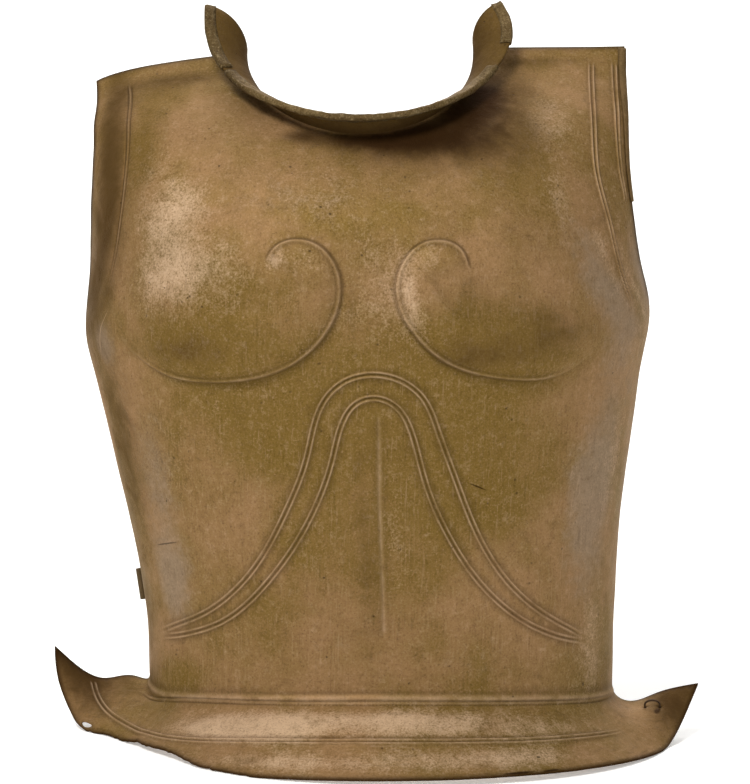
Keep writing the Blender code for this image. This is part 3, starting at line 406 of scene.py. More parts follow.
armStrip = {"endUp": 0.712, "short": 0.0025, "width": 0.0042, "sheet": 0.0009, "bite": 0.00006, "seed": 9}
collar = {
    # turn, long, root, lip: height share and lean outwards at foot and lip
    "walls": (
        (-90, 1.04, 0, 80), (-80, 0.80, 22, 86), (-64, 0.56, 40, 90), (-45, 0.46, 38, 84), (0, 0.47, 30, 78),
        (45, 0.46, 38, 84), (64, 0.56, 36, 86), (78, 0.86, 14, 82), (90, 0.88, -12, 70)),
    "strips": (
        ("collarEdgeLeft", "collar_edge_left", -90, -67), ("collarEdgeFront", "collar_edge_front", -65, 66),
        ("collarEdgeRight", "collar_edge_right", 75, 90)),
    "stripWidth": 0.0062, "stripSheet": 0.0009, "bite": 0.00034,
}
torn = {"from": -0.93, "to": -0.22, "blend": 0.1, "height": 0.00020, "shift": 1.7,
        "waves": (113, 271, 467, 803, 1319)}  # ragged edge where the rim's metal is lost
rimHole = {"across": -0.862, "up": 0.0165, "turn": math.radians(28), "long": 0.0110, "wide": 0.0031,
           "sides": 24}
staple = {"across": 0.925, "up": 0.057, "width": 0.0095, "hole": 0.00115, "sides": 12}


def rimUp(across):
    table = np.array(plate["rimLoss"])
    base = np.interp(across / widest, table[:, 0], table[:, 1]) * tallest
    lost = smoothStep((across / widest - torn["from"]) / torn["blend"])
    lost = lost * smoothStep((torn["to"] - across / widest) / torn["blend"])
    ragged = sum(torn["height"] * np.sin(across * rate + torn["shift"] * rate) for rate in torn["waves"])
    return base + lost * ragged


def neckTurns():
    turns = set(np.round(np.arange(-90, 90.01, fineness["neck"]), 3))
    for mark in [mark for strip in collar["strips"] for mark in strip[2:]]:
        turns = {turn for turn in turns if abs(turn - mark) > fineness["markGap"]} | {float(mark)}
    return np.radians(sorted(turns))


def neckPoints(turn):
    shift, half, square = rows[-1, 4], rows[-1, 1], rows[-1, 3]
    share = plate["neckHalf"] / half
    edge = math.atan2(share, (1 - share ** square) ** (1 / square))
    limit = 0.5 * (armLeft(tallest) + armRight(tallest))
    across = widest * edge / limit * np.sin(turn)
    return np.stack([across, tallest - plate["neckDrop"] * np.cos(turn)], axis=-1)


def outline():
    step = fineness["edge"]
    neck = neckPoints(neckTurns())
    stripEnd, stripTop = armStrip["endUp"] * tallest, tallest - armStrip["short"]
    rim = spaced(-widest, widest, step)
    right = np.concatenate([
        spaced(0, armpitUp, step)[:-1], spaced(armpitUp, stripEnd, step)[:-1],
        spaced(stripEnd, stripTop, step), [tallest]])
    left = np.concatenate([spaced(tallest, armpitUp, step)[:-1], spaced(armpitUp, 0, step)])
    topRight = spaced(widest, neck[-1, 0], step)[1:-1]
    topLeft = spaced(neck[0, 0], -widest, step)[1:-1]
    points = [np.stack([rim, rimUp(rim)], axis=1),
              np.stack([np.full(len(right) - 1, widest), right[1:]], axis=1),
              np.stack([topRight, np.full(len(topRight), tallest)], axis=1)]
    firstNeck = sum(len(part) for part in points)
    points += [neck[::-1],
               np.stack([topLeft, np.full(len(topLeft), tallest)], axis=1),
               np.stack([np.full(len(left) - 1, -widest), left[:-1]], axis=1)]
    return np.concatenate(points), firstNeck, len(neck)


def oval(across, up, long, wide, turn, sides):
    along, climb, normal = sheetFrame(across, up)
    angles = 2 * math.pi * np.arange(sides) / sides
    level, steep = long / 2 * np.cos(angles), wide / 2 * np.sin(angles)
    ring = np.stack([
        (level * math.cos(turn) - steep * math.sin(turn)) / np.linalg.norm(along),
        (level * math.sin(turn) + steep * math.cos(turn)) / np.linalg.norm(climb)], axis=1)
    return ring + (across, up)


def holeRings():
    rings = [oval(rimHole["across"] * widest, rimHole["up"] * tallest, rimHole["long"], rimHole["wide"],
                  rimHole["turn"], rimHole["sides"])]
    across, up = staple["across"] * widest, staple["up"] * tallest
    climb = np.linalg.norm(sheetFrame(across, up)[1])
    for side in (-1, 1):
        foot = up + side * staple["width"] / 2 / climb
        rings.append(oval(across, foot, 2 * staple["hole"], 2 * staple["hole"], 0.0, staple["sides"]))
    return rings


def insideRing(points, ring):
    x, y = points[:, 0], points[:, 1]
    result = np.zeros(len(points), bool)
    for (x0, y0), (x1, y1) in zip(ring, np.roll(ring, -1, axis=0)):
        if y0 != y1:
            result ^= ((y0 > y) != (y1 > y)) & (x < x0 + (y - y0) * (x1 - x0) / (y1 - y0))
    return result


def clearOf(points, others, distance):  # points with no other point near them, found on a grid
    if not len(others) or not len(points):
        return points
    cells = {}
    for i, (cx, cy) in enumerate(np.floor(others / distance).astype(int)):
        cells.setdefault((cx, cy), []).append(i)
    keep = np.ones(len(points), bool)
    for k, (cx, cy) in enumerate(np.floor(points / distance).astype(int)):
        near = [i for dx in (-1, 0, 1) for dy in (-1, 0, 1) for i in cells.get((cx + dx, cy + dy), ())]
        if near and np.min(np.sum((others[near] - points[k]) ** 2, axis=1)) < distance ** 2:
            keep[k] = False
    return points[keep]


def stripSpan(border):
    start, end = armStrip["endUp"] * tallest, tallest - armStrip["short"]
    covered = (border[:, 1] > start - 1e-5) & (border[:, 1] < end + 1e-5)
    return np.nonzero(np.isclose(border[:, 0], widest) & covered)[0]


def sheetMesh():
    border, firstNeck, neckCount = outline()
    rings = [border] + holeRings()
    fixed = np.concatenate(rings)
    edges, first = [], 0
    for ring in rings:
        edges += [(first + i, first + (i + 1) % len(ring)) for i in range(len(ring))]
        first += len(ring)
    span = stripSpan(border)
    strip = beside(border[span], armStrip["width"])
    found = np.empty((0, 2))
    for kind, fade, knots in raised["lines"]:
        points = linePoints(knots, fineness["along"])
        sides = fineness["rows"][kind]
        flip = -1 if kind == "spiral" and knots[0][0] > 0 else 1  # outer side first on both spirals
        lineRows = np.concatenate([beside(points, -flip * side / 1000) for side in sides])
        found = np.concatenate([found, clearOf(lineRows, found, fineness["lineGap"])])
    found = found[insideRing(found, border) & ~insideRing(found, np.concatenate([border[span], strip[::-1]]))]
    found = clearOf(clearOf(found, fixed, fineness["cutGap"]), strip, fineness["cutGap"])
    step = fineness["field"]
    rise = step * math.sqrt(0.75)
    field = []
    for row, up in enumerate(np.arange(rise / 2, tallest, rise)):
        first = -widest + (0.5 * step if row % 2 else 0)
        field += [(across, up) for across in np.arange(first, widest, step)]
    field = np.array(field)
    field = field[insideRing(field, border)]
    taken = np.concatenate([fixed, strip, found])
    field = clearOf(field, taken, fineness["fieldGap"] * step)
    points = np.concatenate([taken, field])
    result = delaunay_2d_cdt([Vector(point) for point in points], edges, [], 0, 1e-7, True)
    order = [sources[0] for sources in result[3]]
    triangles = np.array([[order[i] for i in face] for face in result[2]])
    middles = points[triangles].mean(axis=1)
    keep = insideRing(middles, border)
    for ring in rings[1:]:
        keep &= ~insideRing(middles, ring)
    neck = np.arange(firstNeck + neckCount - 1, firstNeck - 1, -1)
    return points, triangles[keep], neck, (span, np.arange(len(fixed), len(fixed) + len(strip)))


def collarRings(feet, turns):
    turnRows = [row[0] for row in collar["walls"]]
    degrees = np.degrees(turns)
    long = Smooth(turnRows, [row[1] * plate["collarHeight"] for row in collar["walls"]])(degrees)
    root = np.radians(Smooth(turnRows, [row[2] for row in collar["walls"]])(degrees))
    lip = np.radians(Smooth(turnRows, [row[3] for row in collar["walls"]])(degrees))
    run = np.gradient(feet[:, :2], axis=0)
    outward = np.stack([run[:, 1], -run[:, 0]], axis=1)
    outward /= np.linalg.norm(outward, axis=1)[:, None]
    outward[[0, -1]] = (-1, 0), (1, 0)
    wall = long - collar["stripWidth"]
    bound = fineness["stripLevels"]  # levels under the folded strip
    parts, place, rings = fineness["collarLevels"] - bound, feet.copy(), [feet]
    for i in range(parts):
        lean = root + (lip - root) * (i + 0.5) / parts * wall / long
        place = place + (wall / parts)[:, None] * np.stack(
            [outward[:, 0] * np.sin(lean), outward[:, 1] * np.sin(lean), np.cos(lean)], axis=1)
        rings.append(place)
    reach = np.stack([outward[:, 0] * np.sin(lip), outward[:, 1] * np.sin(lip), np.cos(lip)], axis=1)
    for level in range(bound):
        rings.append(place + collar["stripWidth"] * ((level + 1) / bound) * reach)
    return rings


# Patina and painted light: where each tone of the bronze lies, as (across, up, wide, high, strength)
patina = {
    # rubbed bright metal and painted highlights: the glare on the left chest, the lit top of the flare at the
    # waist, the lit edges of the domes
    "wearAndHighlight": (
        (-0.53, 0.705, 0.12, 0.055, 0.64), (-0.49, 0.628, 0.11, 0.045, 0.64),
        (-0.62, 0.78, 0.08, 0.06, 0.25), (-0.38, 0.64, 0.12, 0.03, 0.28), (0.05, 0.31, 0.03, 0.14, 0.25),
        (-0.16, 0.735, 0.16, 0.04, 0.25), (0.6, 0.85, 0.1, 0.06, 0.45), (0.1, 0.62, 0.06, 0.05, 0.3),
        (-0.345, 0.083, 0.22, 0.026, 1), (0.02, 0.095, 0.24, 0.012, 0.5), (-0.2, 0.024, 0.24, 0.018, 0.7),
        (0.1, 0.085, 0.35, 0.02, 0.35), (0.72, 0.42, 0.05, 0.12, 0.3), (0.66, 0.19, 0.08, 0.06, 0.4),
        (0.03, 0.6, 0.1, 0.05, 0.35), (0.62, 0.72, 0.05, 0.05, 0.3), (0.105, 0.605, 0.02, 0.04, 0.55),
        (0.17, 0.65, 0.05, 0.014, 0.35), (-0.222, 0.645, 0.022, 0.012, 0.6),
        (-0.14, 0.64, 0.05, 0.02, 0.2), (-0.345, 0.083, 0.16, 0.022, 0.9),
        (0.35, 0.08, 0.28, 0.028, 0.25), (0.94, 0.4, 0.06, 0.16, 0.4), (0.72, 0.66, 0.05, 0.07, 0.45),
        (0, 0.085, 0.2, 0.022, 0.45), (0.25, 0.028, 0.24, 0.018, 0.6), (0.82, 0.6, 0.05, 0.09, 0.4),
        (-0.33, 0.088, 0.12, 0.016, 0.9)),
    "olive": (
        (-0.09, 0.448, 0.32, 0.11, 0.9), (0.22, 0.42, 0.26, 0.13, 0.9), (0, 0.25, 0.24, 0.1, 0.6),
        (-0.385, 0.545, 0.2, 0.045, 0.9), (0.26, 0.545, 0.22, 0.055, 1), (-0.69, 0.8, 0.12, 0.09, 0.9),
        (-0.6, 0.15, 0.14, 0.03, 0.8), (0.5, 0.25, 0.14, 0.07, 0.4), (-0.66, 0.92, 0.16, 0.05, 0.9),
        (-0.76, 0.43, 0.1, 0.2, 0.9)),
    "grey": (
        (-0.22, 0.725, 0.2, 0.04, 0.4), (0.66, 0.6, 0.11, 0.12, 0.8), (0.62, 0.35, 0.13, 0.14, 0.9),
        (-0.6, 0.38, 0.1, 0.12, 0.6), (-0.62, 0.26, 0.09, 0.06, 0.9), (0.25, 0.17, 0.4, 0.03, 0.3),
        (0.93, 0.38, 0.12, 0.22, 0.6), (0.93, 0.62, 0.08, 0.06, 0.6), (-0.7, 0.54, 0.06, 0.03, 1)),
    # deep brown patina, with painted shade below the domes and under the collar
    "umberAndShade": (
        (-0.84, 0.8, 0.1, 0.16, 0.8), (-0.82, 0.65, 0.09, 0.12, 0.95), (-0.86, 0.93, 0.08, 0.1, 0.6),
        (-0.66, 0.8, 0.08, 0.09, 0.45), (-0.025, 0.33, 0.035, 0.13, 0.45), (-0.7, 0.62, 0.05, 0.06, 0.45),
        (-0.95, 0.55, 0.05, 0.1, 0.6), (-0.4, 0.535, 0.12, 0.018, 0.3), (0.26, 0.536, 0.12, 0.022, 0.6),
        (0.42, 0.56, 0.1, 0.03, 0.5), (-0.985, 0.035, 0.13, 0.07, 1), (0.96, 0.03, 0.12, 0.055, 1),
        (0.8, 0.1, 0.06, 0.06, 0.35), (-0.74, 0.43, 0.15, 0.16, 0.7), (-0.86, 0.2, 0.1, 0.12, 0.45),
        (0.9, 0.9, 0.05, 0.1, 0.25), (0.05, 0.42, 0.1, 0.05, 0.2), (-0.035, 0.6, 0.015, 0.04, 0.4),
        (0.2, 0.795, 0.34, 0.042, 0.7), (0.45, 0.855, 0.17, 0.08, 0.7), (0.88, 0.62, 0.05, 0.1, 0.1),
        (-0.6, 0.955, 0.2, 0.02, 0.6), (0.62, 0.975, 0.25, 0.01, 0.5), (-0.66, 0.925, 0.14, 0.04, 0.5),
        (0.52, 0.93, 0.1, 0.05, 0.5), (-0.8, 0.72, 0.05, 0.08, 0.7), (-0.12, 0.23, 0.13, 0.05, 0.2),
        (0.26, 0.6, 0.14, 0.06, 0.35), (0.48, 0.66, 0.16, 0.08, 0.22), (-0.38, 0.55, 0.22, 0.035, 0.25),
        (0, 0.2, 0.26, 0.09, 0.15)),
    # darker stains, with painted shadow under the collar
    "dark": (
        (0.04, 0.812, 0.2, 0.018, 1), (0.22, 0.824, 0.14, 0.026, 1), (0.34, 0.86, 0.11, 0.038, 1),
        (0.4, 0.905, 0.09, 0.05, 1), (0.22, 0.808, 0.26, 0.034, 0.6), (-0.18, 0.82, 0.08, 0.014, 0.7),
        (-0.31, 0.87, 0.06, 0.025, 0.4), (-0.99, 0.04, 0.12, 0.05, 0.5), (0.95, 0.035, 0.08, 0.04, 0.55),
        (-0.8, 0.67, 0.05, 0.08, 0.4)),
}
# Small marks: across and up as shares, half length and half width in metres, turn, tone, strength
marks = (
    (0.255, 0.378, 0.0066, 0.0006, -23, "dark", 0.8), (0.630, 0.143, 0.0011, 0.0011, 0, "dark", 0.8),
    (-0.610, 0.301, 0.0150, 0.0006, 8, "dark", 0.7), (0.905, 0.046, 0.0036, 0.0030, 0, "dark", 0.8),
    (-0.620, 0.936, 0.0012, 0.0010, 0, "pit", 0.8), (-0.655, 0.932, 0.0008, 0.0007, 0, "pit", 0.8),
    (0.012, 0.102, 0.0045, 0.0005, 55, "wearAndHighlight", 0.35), (-0.010, 0.098, 0.0040, 0.0005, 120, "wearAndHighlight", 0.3),
    (0.030, 0.094, 0.0040, 0.0005, 20, "wearAndHighlight", 0.35), (0.365, 0.028, 0.0012, 0.0010, 0, "dark", 0.8),
    (-0.700, 0.560, 0.0140, 0.0004, 62, "wearAndHighlight", 0.4), (-0.715, 0.545, 0.0120, 0.0004, 70, "wearAndHighlight", 0.4),
    (-0.105, 0.525, 0.0012, 0.0008, 15, "pit", 0.6), (0.300, 0.003, 0.0100, 0.0012, 2, "dark", 0.9),
    (0.380, 0.003, 0.0060, 0.0010, 3, "dark", 0.9), (-0.800, 0.155, 0.0120, 0.0004, 88, "grey", 0.5),
    (-0.790, 0.150, 0.0100, 0.0004, 92, "grey", 0.5), (-0.770, 0.152, 0.0110, 0.0004, 90, "grey", 0.4),
)


def patinaMasks(flat):
    shares = flat / (widest, tallest)
    masks = {}
    for name, table in patina.items():
        clear = np.ones(len(flat))
        for across, up, wide, high, strength in table:
            reach = ((shares[:, 0] - across) / wide) ** 2 + ((shares[:, 1] - up) / high) ** 2
            clear *= 1 - strength * np.exp(-reach)
        masks[name] = 1 - clear
    return masks


# Rubbed crests with painted highlight and grime with painted shade beside each kind of line: distance from
# its middle and reach in mm, how bright, how dull
wearAndLight = {
    "spiral": ((0.0, 0.7, 0.55, 0.0), (2.0, 1.1, 0.0, 0.55)),
    "pair": ((1.45, 0.48, 0.85, 0.0), (0.0, 0.65, 0.0, 0.95), (2.9, 0.70, 0.0, 0.60)),
    "fine": ((1.2, 0.55, 0.0, 1.0), (0.0, 0.50, 0.4, 0.0)),
    "waist": ((0.0, 1.6, 0.60, 0.0), (3.4, 1.0, 0.0, 0.55)),
    "middle": ((0.0, 1.1, 0.60, 0.0), (3.0, 1.2, 0.0, 0.22)),
}


def searchTree(places):
    search = KDTree(len(places))
    for i, place in enumerate(places):
        search.insert(place, i)
    search.balance()
    return search


def distanceTo(flat, border, reach):  # to the sheet's cut edge, never more than the reach
    steps = np.linspace(0, 1, fineness["cutParts"] + 1)[:-1, None]
    dense = np.concatenate([start + (end - start) * steps for start, end in zip(border, border[1:])])
    line = smoothSheet(dense[:, 0], dense[:, 1])
    search = searchTree(line)
    places = smoothSheet(flat[:, 0], flat[:, 1])
    return np.minimum([search.find(place)[2] for place in places], reach)


def wornMasks(places):  # bright rubbed crests with painted highlight, and grime with painted shade beside them, from the distance to each line
    worn, dirtAndShade = np.zeros(len(places)), np.zeros(len(places))
    for kind, fade, knots in raised["lines"]:
        flat = linePoints(knots, fineness["wearAndLight"])
        line = smoothSheet(flat[:, 0], flat[:, 1])
        strength = fadeAlong(lengthAlong(line), fade)
        search = searchTree(line)
        found = [search.find(place) for place in places]
        gap = np.array([item[2] for item in found]) * 1000
        share = strength[[item[1] for item in found]]
        for off, wide, bright, dull in wearAndLight[kind]:
            bell = np.exp(-((gap - off) / wide) ** 2) * share
            worn, dirtAndShade = np.maximum(worn, bright * bell), np.maximum(dirtAndShade, dull * bell)
    return worn, dirtAndShade


# Darker line along the cut edges, partly patina and partly painted shade, in metres, and the height up to
# which the bronze is brushed level
edging = {"reach": 0.02, "width": 0.0022, "sideWidth": 0.0019, "sideBlend": 0.02, "flareTop": 0.13,
          "flareBlend": 0.02}


def sideShade(flat, places):  # painted shade: a darker line where the sheet turns back to each arm edge, measured across as seen from the front
    levels = np.linspace(armpitUp, tallest, fineness["sideRows"])
    shade = np.zeros(len(flat))
    for side in (-1, 1):
        across = np.linspace(0, side * widest, fineness["sideColumns"])
        farthest = [np.max(side * smoothSheet(across, level)[:, 0]) for level in levels]
        near = np.interp(flat[:, 1], levels, farthest) - side * places[:, 0]
        bell = np.exp(-(near / edging["sideWidth"]) ** 2)
        bell *= smoothStep((flat[:, 1] - armpitUp) / edging["sideBlend"])
        shade = np.maximum(shade, np.where(flat[:, 0] * side > 0, bell, 0))
    return shade


def addMask(mesh, name, values):
    mesh.attributes.new(name, "FLOAT", "POINT").data.foreach_set("value", np.asarray(values, np.float32))


def addVectors(mesh, name, values):
    held = mesh.attributes.new(name, "FLOAT_VECTOR", "POINT")
    held.data.foreach_set("vector", np.array(values, np.float32).ravel())


# Geometry nodes that raise the lines
def attribute(tree, name, kind="FLOAT"):
    return addNode(tree, "GeometryNodeInputNamedAttribute", {"Name": name}, data_type=kind).outputs[0]


# A step's shape: share of its width over which it climbs, and how it rounds up behind its edge
stepShape = {"climb": 0.7, "round": -0.6, "roundReach": -0.28}
dentNoise = {"Detail": 2.0, "Roughness": 0.45}


def ridgeGroup():
    tree, given, result = treeWith("ridgeAlongLines", (
        ("Lines", "NodeSocketGeometry"), ("Aside", "NodeSocketFloat"), ("Width", "NodeSocketFloat"),
        ("Height", "NodeSocketFloat"), ("Step", "NodeSocketFloat"), ("Spread", "NodeSocketFloat")),
        (("Rise", "NodeSocketFloat"),))
    lines = given.outputs["Lines"]
    place = addNode(tree, "GeometryNodeInputPosition").outputs[0]
    near = addNode(tree, "GeometryNodeProximity", {"Geometry": lines}, target_element="EDGES")
    index = addNode(tree, "GeometryNodeSampleNearest", {"Geometry": lines}, domain="POINT").outputs[0]
    strength, inner = [addNode(tree, "GeometryNodeSampleIndex", {
        "Geometry": lines, "Value": attribute(tree, name, kind), "Index": index}, data_type=kind).outputs[0]
        for name, kind in (("strength", "FLOAT"), ("inner", "FLOAT_VECTOR"))]
    distance = near.outputs["Distance"]
    reach = calc(tree, "ABSOLUTE", calc(tree, "SUBTRACT", distance, given.outputs["Aside"]))
    share = calc(tree, "MINIMUM", calc(tree, "DIVIDE", reach, given.outputs["Width"]), 0.5)
    bell = calc(tree, "POWER", calc(tree, "COSINE", calc(tree, "MULTIPLY", share, math.pi)), 2.0)
    crest = calc(tree, "MULTIPLY", bell, given.outputs["Height"])
    away = vectorCalc(tree, "SUBTRACT", place, near.outputs["Position"]).outputs[0]
    side = vectorCalc(tree, "DOT_PRODUCT", away, inner).outputs["Value"]  # to the dome's side when positive
    ramp = calc(tree, "DIVIDE", side, calc(
        tree, "MULTIPLY", given.outputs["Width"], stepShape["climb"]))
    ramp = calc(tree, "MINIMUM", calc(tree, "MAXIMUM", calc(tree, "ADD", ramp, 1.0), 0.0), 1.0)
    soft = addNode(tree, "ShaderNodeMapRange", {0: ramp}, interpolation_type="SMOOTHSTEP").outputs[0]
    spreadOut = given.outputs["Spread"]
    decay = calc(tree, "DIVIDE", calc(tree, "MULTIPLY", distance, -1.0), spreadOut)
    decay = calc(tree, "EXPONENT", decay)
    roundReach = calc(tree, "MULTIPLY", spreadOut, stepShape["roundReach"])
    bulge = calc(tree, "DIVIDE", calc(tree, "MAXIMUM", side, 0.0), roundReach)
    bulge = calc(tree, "MULTIPLY_ADD", calc(tree, "EXPONENT", bulge), stepShape["round"], 1.0)
    bulge = calc(tree, "MULTIPLY", bulge, given.outputs["Step"])
    shelf = calc(tree, "MULTIPLY", calc(tree, "MULTIPLY", soft, decay), bulge)
    total = calc(tree, "MULTIPLY", calc(tree, "ADD", crest, shelf), strength)
    tree.links.new(total, result.inputs["Rise"])
    return tree


lineSizes = ("aside", "width", "height", "step", "spread")


def raisedTree():
    kinds = tuple(fineness["rows"])
    inputs = [("Geometry", "NodeSocketGeometry"), ("Finish", "NodeSocketMaterial")]
    inputs += [(label, "NodeSocketFloat") for label in ("Dent size", "Dent depth", "Seed")]
    for kind in kinds:
        inputs.append((kind + " lines", "NodeSocketObject"))
        inputs += [(kind + " " + part, "NodeSocketFloat") for part in lineSizes]
    tree, given, result = treeWith("raisedWork", inputs)
    ridge = ridgeGroup()
    total = attribute(tree, "dome")
    for kind in kinds:
        held = given.outputs[kind + " lines"]
        lines = addNode(tree, "GeometryNodeObjectInfo", {"Object": held}).outputs["Geometry"]
        group = addNode(tree, "GeometryNodeGroup", node_tree=ridge)
        tree.links.new(lines, group.inputs["Lines"])
        for part in lineSizes:
            tree.links.new(given.outputs[kind + " " + part], group.inputs[part.capitalize()])
        total = calc(tree, "ADD", total, group.outputs["Rise"])
    place = addNode(tree, "GeometryNodeInputPosition").outputs[0]
    scale = calc(tree, "DIVIDE", 1.0, given.outputs["Dent size"])
    dents = addNode(tree, "ShaderNodeTexNoise", {
        "Vector": place, "W": given.outputs["Seed"], "Scale": scale, **dentNoise},
        noise_dimensions="4D").outputs[0]
    dents = calc(tree, "MULTIPLY", calc(tree, "SUBTRACT", dents, 0.5), given.outputs["Dent depth"])
    dents = calc(tree, "MULTIPLY", dents, attribute(tree, "open"))
    total = calc(tree, "ADD", total, dents)
    normal = addNode(tree, "GeometryNodeInputNormal").outputs[0]
    offset = addNode(tree, "ShaderNodeVectorMath", {0: normal, 3: total}, operation="SCALE").outputs[0]
    moved = addNode(tree, "GeometryNodeSetPosition", {
        "Geometry": given.outputs["Geometry"], "Offset": offset})
    smooth = addNode(tree, "GeometryNodeSetShadeSmooth", {"Geometry": moved.outputs[0]})
    real = addNode(tree, "GeometryNodeRealizeInstances", {"Geometry": smooth.outputs[0]})
    finish = addNode(tree, "GeometryNodeSetMaterial", {
        "Geometry": real.outputs[0], "Material": given.outputs["Finish"]})
    tree.links.new(finish.outputs[0], result.inputs["Geometry"])
    return tree


def lineObject(kind):  # every line of one kind as a path, with its strength and the side it rises to
    points, edges, strengths, inners = [], [], [], []
    for name, fade, knots in raised["lines"]:
        if name != kind:
            continue
        flat = linePoints(knots, fineness["path"])
        places = smoothSheet(flat[:, 0], flat[:, 1])
        normal = sheetFrame(flat[:, 0], flat[:, 1])[2]
        run = np.gradient(places, axis=0)
        inner = np.cross(normal, run) * (1 if knots[0][0] > 0 and kind == "spiral" else -1)
        inner /= np.linalg.norm(inner, axis=1)[:, None]
        edges += [(len(points) + i, len(points) + i + 1) for i in range(len(places) - 1)]
        points += [tuple(place) for place in places]
        strengths += list(fadeAlong(lengthAlong(places), fade))
        inners += list(inner)
    mesh = bpy.data.meshes.new(kind + "Lines")
    mesh.from_pydata(points, edges, [])
    addMask(mesh, "strength", strengths)
    addVectors(mesh, "inner", inners)
    return linked(kind + "Lines", mesh)


def bakedMesh(item, name):  # the evaluated shape as a plain mesh
    bpy.context.view_layer.update()
    shown = item.evaluated_get(bpy.context.evaluated_depsgraph_get())
    mesh = bpy.data.meshes.new_from_object(shown)
    mesh.name = name
    return mesh


def finishPiece(name, mesh, slot, *nodes):  # stands the mesh on its rim and hands it to the frame
    mesh.transform(standing)
    item = linked(name, mesh)
    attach(item, "root")
    if nodes:
        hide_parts(*nodes)
    print(name, "made:", sum(len(face.vertices) - 2 for face in mesh.polygons), "triangles")
    return item


# Materials
def mixColour(tree, factor, first, second):
    made = addNode(tree, "ShaderNodeMix", data_type="RGBA", clamp_factor=True)
    for key, value in ((0, factor), (6, first), (7, second)):
        if isinstance(value, bpy.types.NodeSocket):
            tree.links.new(value, made.inputs[key])
        else:
            made.inputs[key].default_value = (*value, 1) if key else value
    return made.outputs[2]


def noiseAt(tree, place, scale, detail, rough, distort=0.0, stretch=None):
    if stretch:
        place = addNode(tree, "ShaderNodeMapping", {"Vector": place, "Scale": stretch}).outputs[0]
    sockets = {"Vector": place, "Scale": scale, "Detail": detail, "Roughness": rough, "Distortion": distort}
    return addNode(tree, "ShaderNodeTexNoise", sockets).outputs[0]


def spread(tree, value, low, high, toLow=0.0, toHigh=1.0):
    return addNode(tree, "ShaderNodeMapRange", {
        0: value, 1: low, 2: high, 3: toLow, 4: toHigh}, interpolation_type="SMOOTHSTEP").outputs[0]


# Noise patterns in the bronze: scale, detail, roughness, distortion, stretch
patterns = {
    "large": (14, 5, 0.62), "middle": (48, 6, 0.70, 0.4), "small": (190, 6, 0.75), "grain": (780, 4, 0.70),
    "upright": (1.0, 4, 0.65, 0.0, (760, 760, 38)), "level": (1.0, 4, 0.65, 0.0, (34, 60, 800)),
}
# Flecks: pattern, where they start and where they are full, strength, tone, whether contrast adds to them
flecks = (
    ("middle", 0.44, 0.26, 0.34, "umberAndShade", False), ("small", 0.50, 0.80, 0.30, "wearAndHighlight", True),
    ("small", 0.48, 0.24, 0.42, "umberAndShade", True), ("grain", 0.50, 0.75, 0.20, "wearAndHighlight", True),
    ("grain", 0.48, 0.28, 0.42, "dark", True),
)
# Patches, and stain patches with painted shade: mask, how much they are broken up, where they start and are
# full, strength
patches = (("olive", 0.7, 0.25, 0.80, 0.92), ("grey", 0.7, 0.25, 0.85, 0.85))
stainsAndShade = (("umberAndShade", 0.6, 0.12, 0.95, 0.93), ("dark", 0.32, 0.12, 0.95, 0.93))
# Brushed streaks: where they start and are full, strength, tone
brushing = ((0.52, 0.72, 0.55, "dark"), (0.46, 0.28, 0.45, "wearAndHighlight"))
# How much each pattern breaks up the borders of the patches
breakUp = (("large", 1.1), ("middle", 1.0), ("small", 0.7))
# The other layers: start, full and where given their lowest and highest strength, or one strength
layers = {
    "olive": (0.35, 0.68), "wearAndHighlight": (0.15, 1.05, 0, 0.9), "streaks": (0.35, 0.65),
    "level": (0.60, 0.76, 0, 0.16), "worn": (0.35, 0.62, 0.15, 0.60), "mark": (1.2, 0.5, 0),
    "pitSize": (0.12, 0.04), "pitPlace": (0.50, 0.60), "rough": (0.3, 0.7),
    "pitScale": 120.0, "pit": 0.7, "wearAndHighlightWobble": 0.8, "dirtAndShade": 0.55, "edge": 0.88, "markWobble": 0.8,
    "greyGloss": 0.6, "dullGloss": -0.85, "roughWobble": 0.08, "bump": 0.8,
}
# the bright tan tone serves rubbed metal and painted highlight; the two darkest tones serve stains and
# painted shade
bronze = {
    "brown": (0.248, 0.145, 0.064), "olive": (0.155, 0.096, 0.022), "grey": (0.232, 0.166, 0.108),
    "wearAndHighlight": (0.535, 0.380, 0.248), "dark": (0.020, 0.008, 0.0025), "pit": (0.050, 0.028, 0.012),
    "umberAndShade": (0.070, 0.039, 0.012),
    "metallic": 0.35, "roughness": (0.46, 0.66), "bump": 0.0009, "sheen": (0.80, 0.56, 0.34), "gloss": 0.20,
    "streak": 0.5, "contrast": 1.0,
}


def layPatches(tree, colour, masks, wobble, tones, table):
    for mask, broken, low, high, share in table:
        amount = calc(tree, "ADD", masks[mask], calc(tree, "MULTIPLY", wobble, broken))
        colour = mixColour(tree, spread(tree, amount, low, high, 0, share), colour, tones[mask])
    return colour


